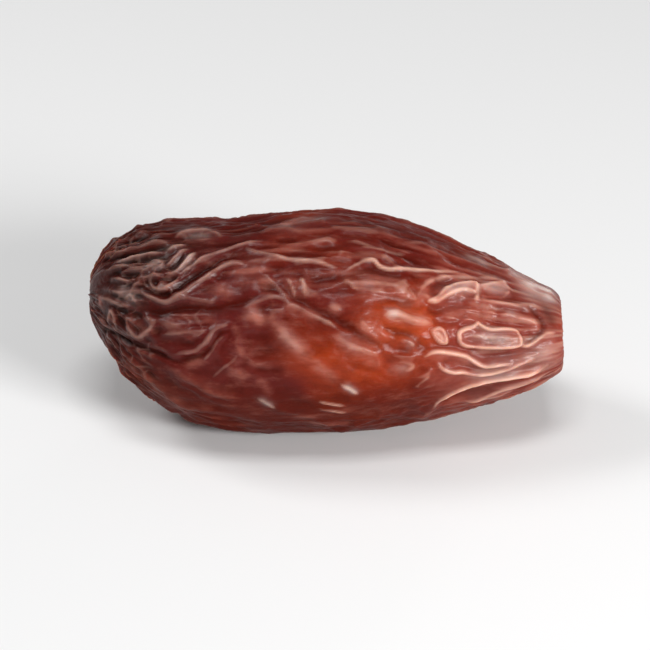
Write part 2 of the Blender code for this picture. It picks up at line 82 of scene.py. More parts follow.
def smoothLine(points, count, perSpan=60):  # a Catmull-Rom curve, sampled evenly
    p = np.array(points, float)
    p = np.vstack([2 * p[0] - p[1], p, 2 * p[-1] - p[-2]])
    step = np.sqrt(np.maximum(np.linalg.norm(np.diff(p, axis=0), axis=1), nearlyZero))
    pieces = []
    for i in range(1, len(p) - 2):
        k0, k1 = 0.0, step[i - 1]
        k2, k3 = k1 + step[i], k1 + step[i] + step[i + 1]
        k = np.linspace(k1, k2, perSpan)[:, None]
        a = ((k1 - k) * p[i - 1] + (k - k0) * p[i]) / (k1 - k0)
        b = ((k2 - k) * p[i] + (k - k1) * p[i + 1]) / (k2 - k1)
        c = ((k3 - k) * p[i + 1] + (k - k2) * p[i + 2]) / (k3 - k2)
        ab = ((k2 - k) * a + (k - k0) * b) / (k2 - k0)
        bc = ((k3 - k) * b + (k - k1) * c) / (k3 - k1)
        pieces.append(((k2 - k) * ab + (k - k1) * bc) / (k2 - k1))
    line = np.vstack(pieces)
    run = np.concatenate([[0.0], np.cumsum(np.linalg.norm(np.diff(line, axis=0), axis=1))])
    even = np.linspace(0.0, run[-1], count)
    return np.stack([np.interp(even, run, line[:, i]) for i in range(line.shape[1])], axis=1)


side = smoothLine(sideView, fruit["sideSamples"])
sideShare = np.linspace(0.0, 1.0, len(side))
middle = smoothLine(bend, fruit["middleSamples"])
skinLength = np.linalg.norm(np.diff(side, axis=0), axis=1).sum()
drawnLength, drawnHalf = side[:, 0].max(), side[:, 1].max()
girth = turn * fruit["meanGirth"] * drawnHalf


def shareAt(x):
    rim = int(np.argmax(side[:, 0])) + 1
    return np.interp(x, side[:rim, 0], sideShare[:rim])


def xAt(s):
    return np.interp(s, sideShare, side[:, 0])


def radiusAt(s):
    return np.maximum(np.interp(s, sideShare, side[:, 1]), 0.0)


def barePoints(s, a):
    x = xAt(s)
    back = np.interp(x, middle[:, 0], middle[:, 1])
    up = np.interp(x, middle[:, 0], middle[:, 2])
    r = radiusAt(s) / drawnHalf
    y = back - r * fruit["width"] / 2 * np.sin(a)
    z = fruit["height"] / 2 - fruit["flattened"] + up + r * fruit["height"] / 2 * np.cos(a)
    return np.stack([x * fruit["length"] / drawnLength, y, z], axis=-1)


# the skin unrolled to a grid: rows run from the tip to the scar's middle, columns round from the top,
# and each point knows how far it is from the tip in mm and from the top in degrees
rows, columns = fruit["gridAlong"], fruit["gridRound"]
rowStep, columnStep = skinLength / (rows - 1), turn / columns
share = np.linspace(0, 1, rows)[:, None]
fromTip, radius = xAt(share), radiusAt(share)
angle = (np.arange(columns) * turn / columns)[None]
fromTop = (np.degrees(angle) + 180) % 360 - 180
awayFromTop = np.abs(fromTop)

# folds of the front and top: height, half width, how pale the crest is (dry skin and painted highlight),
# points as (x, angle)
ridges = [
    # from the tip over the shoulder
    (0.50, 0.36, 0.75, [(5.1, 42), (6.0, 45), (6.8, 47), (8.0, 49), (8.8, 47), (9.7, 43), (11.0, 36),
                        (12.0, 32), (13.0, 27), (13.8, 25), (14.8, 24), (16.0, 26)]),
    (0.42, 0.30, 0.70, [(7.8, 32), (6.8, 33), (6.4, 36), (7.0, 41), (8.0, 41), (8.8, 36), (9.4, 31),
                        (10.2, 26), (11.6, 20), (13.4, 15), (15.5, 11), (18.0, 9)]),
    (0.30, 0.28, 0.50, [(3.2, 50), (3.8, 46), (4.6, 48), (5.2, 53)]),
    (0.28, 0.26, 0.60, [(3.8, 52), (4.4, 46), (5.0, 39), (5.8, 38)]),
    (0.26, 0.24, 0.60, [(5.6, 25), (6.2, 21), (7.0, 20), (7.6, 24), (7.0, 27)]),
    (0.40, 0.26, 1.00, [(8.4, 32), (9.0, 29), (9.8, 23), (10.5, 18), (10.8, 15)]),
    (0.36, 0.26, 0.60, [(7.9, 26), (8.5, 22), (9.4, 16), (10.2, 12)]),
    (0.30, 0.26, 0.80, [(7.8, 14), (8.6, 12), (9.2, 10), (9.8, 8)]),
    (0.34, 0.28, 0.55, [(2.4, 22), (4.0, 24), (5.4, 22), (7.2, 23)]),
    (0.34, 0.26, 0.90, [(2.6, 19), (4.2, 15), (5.6, 13), (7.0, 14), (8.0, 15)]),
    (0.34, 0.28, 0.45, [(2.4, 10), (3.8, 8), (5.2, 5), (6.6, 4), (8.0, 6)]),
    (0.30, 0.26, 0.35, [(3.4, 1), (5.0, -1), (6.6, -3), (8.6, -2)]),
    (0.32, 0.30, 0.30, [(2.2, -6), (4.0, -11), (6.0, -13), (8.4, -15)]),
    (0.34, 0.30, 0.50, [(2.4, 33), (4.0, 36), (5.6, 34), (7.2, 33)]),
    (0.34, 0.30, 0.45, [(2.2, 45), (3.4, 47), (4.6, 44), (6.0, 42)]),
    (0.30, 0.26, 0.40, [(3.2, 29), (4.6, 29), (5.8, 28)]),
    (0.34, 0.50, 0.70, [(8.6, 1), (9.4, -4), (10.6, -8), (12.0, -7), (13.0, -2), (13.2, 2)]),
    (0.16, 0.40, 0.30, [(9.4, 3), (10.6, 2), (12.4, 3)]),
    # small facets beside the tip
    (0.38, 0.34, 0.80, [(4.1, 62), (4.3, 70), (5.2, 75), (6.0, 71), (6.8, 63), (6.0, 59)]),
    (0.36, 0.32, 0.80, [(2.1, 80), (2.4, 70), (2.6, 65), (2.9, 71), (3.1, 79)]),
    (0.36, 0.40, 0.30, [(3.2, 96), (4.6, 97), (5.6, 100), (6.6, 108)]),
    (0.30, 0.34, 0.45, [(1.2, 56), (2.4, 55), (3.6, 57), (4.4, 54)]),
    # the cheek under the long crease
    (0.12, 0.24, 0.25, [(8.0, 56), (10.0, 55), (12.4, 53)]),
    (0.12, 0.24, 0.25, [(8.2, 62), (10.0, 60), (12.4, 57)]),
    (0.22, 0.28, 0.30, [(7.4, 69), (9.0, 66), (11.0, 63), (12.3, 61)]),
    (0.30, 0.32, 0.40, [(8.8, 79), (10.8, 74), (12.0, 68), (12.9, 61), (14.5, 57)]),
    (0.28, 0.30, 0.35, [(11.6, 80), (12.5, 73), (13.3, 66), (14.2, 63)]),
    (0.20, 0.70, 0.10, [(12.4, 92), (14.0, 84), (15.2, 74), (15.0, 66), (15.8, 60)]),
    (0.20, 0.28, 0.32, [(12.4, 90), (13.6, 82), (14.6, 77), (15.2, 72)]),
    (0.14, 0.70, 0.05, [(14.0, 69), (15.4, 73), (16.8, 78), (18.6, 80)]),
    (0.18, 0.26, 0.35, [(15.4, 72), (16.6, 77), (17.8, 79)]),
    (0.22, 0.50, 0.20, [(8.0, 90), (10.0, 92), (12.4, 99), (15.0, 103)]),
    (0.20, 0.90, 0.00, [(15.6, 80), (17.2, 91), (17.6, 101), (18.8, 108), (21.0, 113)]),
    (0.30, 0.28, 1.00, [(16.8, 99), (17.6, 102), (18.6, 107)]),
    (0.26, 0.26, 0.80, [(24.9, 88), (25.8, 92), (26.8, 97)]),
    (0.24, 0.26, 0.70, [(22.8, 101), (24.0, 103), (25.4, 105)]),
    (0.24, 0.26, 0.70, [(22.8, 107), (24.2, 109), (25.6, 112)]),
    # the middle
    (0.30, 1.00, 0.05, [(18.2, 52), (19.0, 59), (20.5, 67), (22.0, 73), (24.0, 80), (25.6, 88),
                        (27.2, 95)]),
    (0.24, 0.50, 0.30, [(14.2, 51), (15.8, 48), (17.2, 45), (18.6, 43), (20.4, 47), (22.0, 51), (24.0, 56),
                        (26.0, 62)]),
    (0.18, 0.34, 0.20, [(17.6, 50), (19.4, 51), (21.0, 55), (22.4, 59)]),
    (0.16, 0.80, 0.00, [(19.0, 86), (21.0, 92), (22.4, 99)]),
    (0.14, 0.70, 0.00, [(27.5, 84), (29.5, 92), (31.0, 99)]),
    (0.16, 0.60, 0.00, [(9.5, 96), (12.0, 104), (15.5, 110)]),
    (0.26, 0.60, 0.15, [(24.0, 60), (25.2, 65), (26.6, 69), (28.0, 72), (29.0, 71)]),
    (0.20, 0.35, 0.30, [(26.6, 57), (27.6, 61), (28.8, 65)]),
    (0.22, 0.30, 0.55, [(19.8, 33), (20.3, 38), (20.6, 43)]),
    (0.24, 0.28, 0.70, [(21.1, 33), (21.5, 38), (21.6, 43)]),
    (0.26, 0.45, 0.60, [(30.8, 65), (31.6, 66), (32.2, 69)]),
    (0.26, 0.55, 0.45, [(30.2, 79), (31.0, 78), (32.0, 81), (31.2, 85)]),
    (0.24, 0.40, 0.40, [(32.2, 96), (33.0, 92), (33.6, 88)]),
    # along the top
    (0.32, 0.36, 0.90, [(15.6, 13), (16.8, 17), (18.0, 20), (19.0, 22), (20.5, 24), (22.0, 25), (23.4, 26),
                        (24.8, 28)]),
    (0.32, 0.34, 0.95, [(25.4, 29), (26.4, 26), (27.4, 23), (28.1, 22), (28.8, 25), (30.0, 26), (31.4, 24),
                        (33.0, 22), (35.0, 18), (37.0, 14)]),
    (0.13, 0.26, 0.30, [(17.2, 14), (19.0, 16), (21.0, 18), (24.4, 19), (27.0, 18)]),
    (0.12, 0.26, 0.25, [(17.0, 8), (18.6, 12), (21.0, 14), (24.0, 16)]),
    (0.20, 0.60, 0.30, [(20.6, 7), (21.6, 10), (24.0, 12), (27.0, 12), (29.0, 14), (31.0, 13), (34.0, 7)]),
    (0.14, 0.40, 0.20, [(22.0, 1), (25.0, 2), (28.0, 4), (31.0, 4), (34.0, -1)]),
    (0.14, 0.36, 0.20, [(14.0, 3), (17.0, 2), (20.0, 3), (23.0, 7)]),
    (0.14, 0.40, 0.15, [(14.0, -8), (18.0, -6), (24.0, -6), (30.0, -6), (36.0, -12)]),
    (0.26, 0.80, 0.30, [(25.0, 35), (27.0, 36), (29.0, 35), (31.0, 37), (32.4, 42)]),
    (0.30, 0.40, 0.50, [(32.4, 41), (33.0, 34), (33.6, 30), (34.4, 26), (35.6, 21), (37.4, 17),
                        (39.4, 11)]),
    (0.18, 0.50, 0.35, [(17.0, 33), (18.2, 35), (19.2, 40), (20.2, 45)]),
    # crowded towards the stalk's scar
    (0.24, 0.26, 0.80, [(38.4, 20), (38.5, 28), (38.2, 36)]),
    (0.40, 0.36, 0.70, [(38.6, 23), (39.6, 18), (41.0, 12), (41.6, 16)]),
    (0.50, 0.60, 0.60, [(29.2, 52), (30.2, 51), (32.0, 54), (34.0, 55)]),
    (0.10, 0.20, 0.50, [(37.4, 62), (39.6, 62), (41.8, 61)]),
    (0.12, 0.24, 0.60, [(38.6, 12), (41.0, 9), (41.8, 16)]),
    (0.46, 0.30, 1.00, [(32.8, 77), (34.1, 73), (35.6, 74), (37.2, 77), (38.2, 82), (39.1, 86), (40.4, 86),
                        (42.2, 87)]),
    (0.42, 0.26, 0.90, [(34.3, 79), (35.0, 85), (36.0, 88), (37.0, 89), (38.0, 92), (39.4, 93), (41.0, 91),
                        (42.6, 87), (44.2, 84)]),
    (0.52, 0.30, 1.00, [(34.1, 121), (34.5, 114), (35.4, 108), (37.1, 103), (38.6, 100), (41.0, 99),
                        (43.9, 99), (45.6, 96)]),
    (0.36, 0.34, 0.60, [(37.0, 124), (39.2, 117), (40.6, 113), (42.4, 113), (44.5, 113)]),
    (0.40, 0.30, 0.90, [(42.6, 70), (43.2, 70), (44.2, 65), (45.0, 59), (46.2, 57)]),
    (0.40, 0.45, 0.15, [(40.4, 45), (41.4, 42), (42.4, 43), (43.9, 46), (44.6, 53)]),
    (0.35, 0.45, 0.20, [(39.0, 42), (39.6, 36), (41.0, 33), (43.0, 30), (45.0, 26)]),
    (0.14, 0.50, 0.70, [(34.1, 60), (34.7, 63), (35.0, 66)]),
]

# flat-topped rises near the scar: height, edge width, how pale the rim is (dry skin and painted highlight),
# outline as (x, angle)
plateaus = [
    (0.40, 0.14, 1.00, [(36.7, 69), (36.5, 67), (36.5, 60), (37.0, 57), (38.0, 54), (38.4, 51), (38.9, 53),
                        (39.6, 55), (41.4, 53), (42.3, 55), (42.7, 60), (42.8, 68), (42.5, 71), (40.0, 72),
                        (37.4, 71), (36.7, 69)]),
    (0.40, 0.20, 0.95, [(33.5, 42), (34.4, 37), (35.1, 31), (36.2, 25), (37.2, 22), (38.4, 20), (38.3, 29),
                        (37.3, 29), (36.2, 33), (35.2, 38), (34.4, 42), (33.5, 42)]),
    (0.34, 0.18, 0.55, [(33.7, 59), (34.7, 57), (35.3, 61), (35.4, 68), (34.7, 68), (34.1, 64),
                        (33.7, 59)]),
    (0.26, 0.25, 0.20, [(38.7, 23), (39.6, 18), (41.2, 11), (41.8, 17), (41.2, 26), (40.0, 30), (38.8, 31),
                        (38.7, 23)]),
    (0.30, 0.35, 0.35, [(29.0, 52), (30.0, 49), (31.6, 52), (33.8, 52), (34.0, 56), (32.0, 57), (30.0, 55),
                        (29.0, 52)]),
    (0.22, 0.35, 0.30, [(25.2, 34), (26.6, 31), (29.0, 30), (31.4, 34), (32.4, 42), (30.5, 41), (28.0, 41),
                        (26.0, 39), (25.2, 34)]),
    (0.40, 0.80, 0.00, [(41.0, -6), (42.0, -16), (44.0, -18), (45.8, -10), (46.0, 4), (44.8, 12), (43.2, 9),
                        (41.8, 2), (41.0, -6)]),
]

# pale waxy bloom and painted soft sheen on the skin: strength, half width, points
hazeAndSheen = [
    (0.70, 0.90, [(26.4, 37), (28.4, 35), (30.4, 36)]),
    (1.00, 0.35, [(25.4, 34), (26.0, 34)]),
    (0.60, 0.50, [(32.2, 44), (33.0, 38), (33.4, 33)]),
    (0.50, 0.60, [(30.6, 41), (32.4, 41)]),
    (0.70, 0.45, [(17.2, 34), (18.2, 36)]),
    (0.50, 0.80, [(20.0, 33), (20.4, 38), (21.6, 38)]),
    (0.80, 0.30, [(21.2, 35), (21.5, 42)]),
    (0.60, 0.30, [(20.0, 36), (20.4, 41)]),
    (0.60, 0.40, [(24.0, 48), (24.8, 50)]),
    (0.80, 0.45, [(26.9, 55), (27.8, 60)]),
    (0.50, 0.50, [(28.2, 60), (29.6, 63)]),
    (0.60, 0.40, [(21.6, 51), (22.8, 54)]),
    (0.50, 0.40, [(19.8, 47), (20.6, 49)]),
    (0.50, 0.35, [(17.4, 41), (18.4, 42)]),
    (0.60, 0.40, [(18.2, 53), (18.8, 58)]),
    (0.90, 0.60, [(16.4, 50), (17.2, 55)]),
    (0.60, 0.60, [(13.2, 38), (14.2, 41)]),
    (0.55, 0.32, [(14.7, 59), (15.2, 64)]),
    (0.60, 0.28, [(15.1, 70), (15.5, 73)]),
    (0.50, 0.35, [(16.0, 78), (18.4, 79)]),
    (0.45, 0.40, [(17.0, 89), (17.9, 90)]),
    (0.45, 0.40, [(17.6, 92), (18.2, 95)]),
    (0.70, 0.45, [(21.0, 73), (22.2, 74)]),
    (0.80, 0.55, [(22.2, 76), (23.6, 82), (24.6, 87)]),
    (0.40, 0.40, [(20.2, 113), (22.8, 115)]),
    (0.45, 0.50, [(21.8, 124), (26.2, 126)]),
    (0.70, 0.70, [(29.6, 51), (31.0, 52), (33.8, 54)]),
    (1.00, 0.55, [(19.0, 58), (19.6, 62), (20.8, 68), (21.6, 72)]),
    (0.60, 0.45, [(14.2, 84), (16.0, 86)]),
    (0.50, 0.50, [(27.4, 76), (28.8, 79)]),
    (0.45, 0.50, [(10.4, 83), (11.6, 79)]),
    (0.55, 0.55, [(24.3, 62), (25.5, 66), (27.0, 70), (28.8, 73)]),
    (0.45, 0.80, [(35.0, 47), (38.0, 46), (40.4, 47)]),
    (0.45, 1.00, [(16.2, 22), (16.6, 28), (15.0, 34)]),
    (0.40, 0.40, [(30.8, 67), (31.6, 67)]),
    (0.45, 0.70, [(30.4, 80), (31.4, 84)]),
    (0.45, 0.80, [(18.0, -4), (20.5, -9), (22.6, -12)]),
    (0.45, 0.60, [(4.6, 66), (5.8, 68)]),
    (0.45, 0.40, [(2.4, 72), (2.8, 76)]),
    (0.60, 0.45, [(1.2, 56), (1.6, 66)]),
    (0.50, 0.45, [(1.4, 82), (1.9, 92)]),
    (0.50, 1.00, [(4.5, 100), (5.5, 112)]),
    (0.35, 1.80, [(4.4, 104), (7.0, 112), (10.0, 118)]),
    (0.25, 1.20, [(9.0, 88), (12.0, 96), (15.0, 100)]),
    (0.30, 0.80, [(8.0, 62), (11.0, 66)]),
    (0.65, 0.60, [(34.6, 38), (36.2, 31), (38.0, 26)]),
    (0.80, 0.40, [(34.2, 60), (35.0, 65)]),
    (0.90, 0.55, [(39.2, 45), (40.0, 43)]),
    (0.90, 0.50, [(41.6, 46), (42.6, 43)]),
    (0.30, 0.50, [(37.4, 63), (41.8, 62)]),
    (0.60, 0.70, [(34.0, 75), (36.0, 77), (38.0, 83)]),
    (0.40, 1.20, [(42.5, 78), (44.5, 80), (46.0, 80)]),
    (0.60, 0.55, [(43.2, 42), (44.0, 50)]),
    (0.35, 1.20, [(36.5, 97), (40.0, 97), (45.0, 95)]),
    (0.40, 0.80, [(38.0, 119), (42.0, 117)]),
    (0.35, 0.90, [(42.6, -4), (43.6, 1), (45.0, 4)]),
    (0.50, 0.80, [(39.4, 18), (41.2, 12)]),
]

# dark stains, and painted shade along the creases and along the top edge: strength, half width, points
stainsAndShade = [
    (0.90, 0.36, [(9.0, 53), (12.0, 50), (14.0, 48), (16.0, 45)]),
    (0.45, 0.36, [(17.2, 40), (18.6, 39), (20.6, 44), (22.0, 48), (24.0, 53), (26.0, 59), (28.0, 65),
                  (29.5, 68)]),
    (0.60, 0.40, [(10.6, 49), (12.0, 47), (13.4, 46)]),
    (0.60, 0.50, [(22.4, 34), (24.8, 33)]),
    (0.50, 0.40, [(24.8, 38), (25.6, 37)]),
    (0.60, 0.26, [(18.6, 19), (21.0, 21), (24.6, 22)]),
    (0.60, 0.30, [(18.6, 9), (20.6, 9)]),
    (0.50, 0.45, [(26.6, 30), (29.0, 29), (31.0, 30)]),
    (0.60, 0.80, [(17.4, 64), (18.6, 71)]),
    (0.60, 0.30, [(16.6, 81), (19.4, 82)]),
    (0.60, 0.60, [(20.2, 100), (22.2, 104)]),
    (0.50, 0.50, [(24.2, 98), (25.8, 101)]),
    (0.70, 0.34, [(12.2, 71), (13.5, 61)]),
    (0.60, 0.80, [(13.0, 124), (18.0, 128), (23.0, 129)]),
    (0.95, 0.28, [(43.2, 27), (44.2, 36), (45.0, 48), (44.6, 58), (43.6, 66), (43.0, 68)]),
    (0.85, 0.70, [(45.2, 24), (45.9, 45)]),
    (0.90, 1.10, [(14.5, -5), (17.4, -2)]),
    (0.80, 1.10, [(24.0, -8), (30.0, -8), (36.0, -10), (39.6, -8)]),
    (0.50, 1.00, [(3.4, -6), (6.0, -8), (9.0, -9)]),
    (0.70, 0.80, [(25.0, -2), (29.0, -3), (34.0, -4), (38.0, -4)]),
    (0.60, 0.70, [(12.6, 8), (15.6, 8)]),
    (0.50, 0.60, [(36.4, 112), (39.4, 110)]),
    (0.50, 0.50, [(39.0, 78), (42.0, 77)]),
    (0.40, 0.60, [(41.0, 27), (43.6, 34)]),
    (0.50, 0.30, [(37.4, 64), (41.6, 65)]),
    (0.45, 0.28, [(38.0, 57), (40.4, 57)]),
]

# grey dust on the skin, and painted glints and highlights such as the bright facet above the scar: strength,
# half width, points
dustAndHighlights = [
    (1.00, 0.85, [(43.5, 0), (44.6, 2), (45.9, 3)]),
    (0.30, 0.50, [(42.0, -8), (43.2, -4)]),
    (1.00, 0.22, [(17.2, 100), (18.2, 105)]),
    (0.95, 0.20, [(25.4, 90), (26.4, 95)]),
    (0.60, 0.25, [(29.6, 51), (30.4, 51)]),
    (0.60, 0.35, [(30.9, 67), (31.7, 68)]),
    (0.32, 0.35, [(30.2, 80), (31.2, 82)]),
    (0.16, 0.35, [(19.0, 58), (19.8, 63), (21.0, 69), (21.8, 72)]),
    (0.14, 0.35, [(24.8, 63), (26.2, 68), (28.0, 72)]),
    (0.55, 0.24, [(41.5, 39), (42.2, 40)]),
    (0.35, 0.70, [(39.6, 20), (41.0, 14)]),
    (0.30, 0.50, [(34.6, 38), (36.2, 30), (37.8, 25)]),
    (0.35, 0.30, [(26.8, 36), (29.4, 36)]),
    (0.60, 0.60, [(19.4, -3), (21.0, -7), (22.8, -11)]),
    (0.40, 0.40, [(37.4, -10), (39.6, -8)]),
    (0.24, 0.60, [(5.8, 23), (7.0, 22)]),
    (0.22, 0.60, [(3.6, 48), (4.8, 50)]),
    (0.24, 0.50, [(8.0, 12), (9.0, 12)]),
    (0.45, 0.18, [(8.6, 31), (9.8, 23), (10.6, 17)]),
    (0.35, 0.18, [(7.8, 14), (8.6, 12), (9.4, 9)]),
    (0.35, 0.18, [(2.8, 18), (4.2, 15), (5.8, 13)]),
    (0.18, 0.50, [(9.8, -2), (11.0, -3), (12.2, -1)]),
    (0.22, 0.90, [(43.4, 78), (45.4, 82)]),
    (0.22, 1.00, [(37.0, 97), (43.0, 97)]),
    (0.14, 0.60, [(37.0, 82), (40.0, 86), (43.0, 84)]),
    (0.30, 0.45, [(38.0, 62), (41.4, 62)]),
]

# sunk lines: depth, half width, points
creases = [
    # the long crease from the tip across the front
    (0.34, 0.55, [(2.2, 56), (6.6, 58), (8.5, 54), (10.0, 51), (12.0, 50), (14.0, 48), (16.0, 45),
                  (17.2, 41), (18.4, 39), (19.4, 40), (20.6, 44), (22.0, 48), (24.0, 53), (26.0, 59),
                  (28.0, 65), (29.5, 68)]),
    (0.14, 0.50, [(28.6, 57), (30.4, 61), (32.2, 66), (33.2, 71)]),
    # between the shoulder's ridges
    (0.45, 0.34, [(6.4, 43), (8.0, 44), (9.1, 40), (10.4, 33), (11.8, 27), (13.2, 21), (15.0, 17)]),
    (0.35, 0.28, [(7.2, 35), (8.4, 35), (9.5, 31), (10.5, 24), (11.2, 19)]),
    (0.30, 0.26, [(8.2, 27), (9.0, 23), (9.8, 17)]),
    (0.30, 0.28, [(3.0, 12), (4.6, 11), (6.4, 10), (8.0, 10)]),
    (0.26, 0.26, [(3.2, 19), (5.0, 19), (6.8, 18), (8.0, 19)]),
    # from the notch under the tip
    (0.50, 0.35, [(1.4, 110), (1.6, 96), (2.6, 89), (4.1, 85), (5.9, 83), (7.4, 82), (9.5, 84)]),
    (0.26, 0.30, [(9.6, 80), (11.2, 77), (12.6, 70), (13.4, 62)]),
    # along the top
    (0.18, 0.40, [(18.0, 27), (20.0, 30), (22.0, 31), (25.0, 31), (28.0, 27), (32.0, 24), (36.0, 16),
                  (38.0, 12)]),
    (0.14, 0.35, [(16.0, 11), (20.0, 17), (24.0, 21), (28.0, 17), (32.0, 11), (35.0, 4)]),
    (0.14, 0.40, [(15.0, -2), (19.0, 3), (24.0, 7), (29.0, 5), (34.0, -3)]),
    # crowded towards the stalk's scar
    (0.35, 0.34, [(33.6, 33), (35.0, 26), (37.0, 19), (39.0, 14)]),
    (0.35, 0.34, [(34.2, 47), (36.0, 42), (37.6, 41)]),
    (0.14, 0.18, [(37.2, 58), (38.6, 55), (40.0, 58), (42.0, 57)]),
    (0.12, 0.18, [(37.2, 66), (39.6, 67), (42.0, 66)]),
    (0.18, 0.50, [(34.2, 54), (36.0, 52), (37.6, 47), (39.4, 49), (42.4, 49), (43.4, 57), (43.4, 64)]),
    (0.20, 0.60, [(36.4, 74), (38.0, 75), (40.0, 76), (42.0, 77), (43.6, 77)]),
    (0.26, 0.34, [(35.4, 80), (37.0, 84), (38.4, 89), (40.0, 90), (41.6, 88)]),
    (0.45, 0.42, [(35.0, 119), (35.8, 112), (37.2, 109), (39.4, 108), (42.0, 106)]),
    (0.25, 0.30, [(44.4, 36), (44.9, 45), (45.4, 54), (46.2, 50)]),
]

# how a pinched ridge is shaped, the first four in parts of its half width
ridgeShape = {
    "reach": 3,
    "fallOff": 0.75,
    "crest": 0.45,          # how round its crest is
    "crestNearScar": 0.6,
    "nearScar": 32,         # mm from the tip
    "endShare": 0.2,        # it dies out over this share of its length at both ends
    "endPower": 0.6,
    "samples": 26,          # for each of its points
    "leastRadius": 1.0,     # mm, keeps it from running right round the tip
    "paleWidth": 0.45,      # of the pale line on its crest, dry skin and painted highlight, in parts of its half width
    "paleLeast": 0.16,      # mm
}

# how a flat-topped rise is shaped, in mm
riseShape = {
    "margin": 1,            # worked out this far past the outline
    "far": 9.0,             # more than any distance within that
    "samples": 16,          # for each of its points
    "flatPart": 0.7,        # of its height, and the rest is its lip
    "lip": (0.18, 0.2),     # how far inside the outline, and how wide
    "paleLip": (0.12, 0.18),
}

# the long folds that a rule lays over the back and the underside
backFold = {
    "count": 15,
    "angles": (138, 334),
    "height": 0.55,
    "halfWidth": 0.60,
    "seed": 21,
    "scatter": 0.3,         # in parts of the gap between two
    "starts": (3, 14),
    "ends": (26, 44),
    "bends": 6,
    "sway": 7,              # degrees from one bend to the next
    "heights": (0.6, 1.15),
    "widths": (0.7, 1.3),
    "pale": 0.15,
}

# how high the wrinkles between the folds stand, in mm
heights = {
    "broad": 0.46,
    "middle": 0.22,
    "long": 0.36,           # over the top
    "tipPleats": 0.26,
    "scarPleats": 0.22,
    "tipNet": 0.14,
    "fineFolds": 0.12,
    "small": 0.03,
    "tiny": 0.006,
    "streaks": 0.03,        # towards the scar
    "topLines": 0.035,
    "lumps": 0.22,
    "marksRaised": 0.22,
    "stainsAndShadeSunk": 0.18,
}

# their patterns: how many fit round the fruit, seed, and then what the note says
patterns = {
    # stretch along the fruit (longer if under 1), width of the crests
    "broad": (7.5, 4, 0.55, 0.7),
    "middle": (14, 3, 0.6, 0.6),
    "long": (9, 8, 0.16, 0.5),
    "tipNet": (34, 17, 0.5, 0.6),
    "fineFolds": (22, 18, 0.25, 0.7),
    # how far they wander
    "tipPleats": (44, 31, 3.2),
    "scarPleats": (34, 32, 2.6),
    # stretch along the fruit and spread of the sizes, where it isn't plain
    "small": (26, 7, 0.6, 0.55),
    "tiny": (70, 5, 0.8, 0.55),
    "streaks": (46, 53, 0.12, 0.4),
    "topLines": (60, 61, 0.09, 0.4),
    "lumps": (2.7, 13),
    "patches": (9, 14),
    "drift": (4.5, 11),
    "smallPatches": (7, 15),
    "palePatches": (38, 52, 0.6),
    "dustAndHighlightPatches": (30, 51, 0.6),
    "amberPatches": (8, 41),
    "winePatches": (8, 43),
    "rimPatches": (20, 54),
}

# how unevenly they lie: mean, how much that varies, least, most
cover = {
    "patchy": (1, 0.7, 0.1, 2),
    "broad": (1, 0.5, 0.3, 2),
    "fineFolds": (1, 1, 0, 2),
    "small": (1, 1, 0.1, 2.5),
    "pale": (1, 0.4, 0.3, 1.3),
    "dustAndHighlights": (0.8, 0.4, 0, 1.4),
}

# where the skin lies smoother: how much, middle angle and its reach, middle distance and its reach
calmZones = [
    (0.85, 98, 42, 22.0, 12.0),    # the lower cheek
    (0.60, 70, 48, 43.0, 8.0),     # between the folds near the scar
    (0.95, -5, 34, 43.5, 3.5),     # the facet above the scar
    (0.50, -25, 25, 36.0, 6.0),    # behind that facet
    (0.60, 138, 30, 38.5, 5.5),    # the lower edge near the scar
    (0.45, -34, 22, 32.0, 8.0),    # the upper edge
    (0.60, 64, 14, 31.0, 4.0),     # in the amber patch
]

# amber patches: how strong, middle angle and its reach, middle distance and its reach
amberZones = [
    (1.10, 54, 14, 31.0, 4.5),
    (0.50, 84, 16, 29.5, 6.0),
    (0.40, 75, 12, 20.0, 3.0),
    (0.30, 106, 12, 33.0, 3.0),
    (0.30, 117, 12, 31.0, 6.0),
    (0.30, 62, 8, 30.0, 2.0),
]

# stretches over which something sets in or ends, in mm from the tip
spans = {
    "tipEnds": (6, 16),
    "scarStarts": (31, 40),
    "rimStarts": (43.5, 46),
    "topLinesStart": (9, 15),
    "topLinesEnd": (35, 40),
    "sideStarts": (0.5, 6),        # the dull, shaded lower side
    "dullSideEnds": (31, 36),
    "shadedSideEnds": (30, 38),
    "dullTopEnds": (38, 41),
    "amberMottleStarts": (15, 22),
    "streaksStart": (34, 40),
    "brownEnds": (5, 17),
    "wineEnds": (15, 27),
    "pinkStarts": (31.5, 37),
}

# bands round the fruit: middle angle and reach
bands = {
    "top": (-10, 50),
    "topLines": (14, 30),
    "calmTop": (14, 24),
    "underTipPleats": (105, 35),
    "underTipNet": (125, 35),
    "dullTop": (-14, 16),
    "wineTop": (-20, 40),
    "pink": (62, 62),
}

# how much is taken away from something in a place: 1 leaves nothing
less = {
    "nearFolds": 0.5,
    "broadOnTop": 0.5,
    "middleOnTop": 0.6,
    "pleatsUnderTip": 0.6,
    "netUnderTip": 0.7,
    "fineFoldsAtTip": 0.5,
    "fineFoldsInCalm": 0.6,
    "reliefAtRim": 0.6,
    "glossOnSide": 0.86,
    "glossInHollows": 0.6,
    "glossOnTop": 0.65,
    "glossOnAmber": 0.4,
    "shadeAtScar": 0.65,
    "redOnTop": 0.6,
}

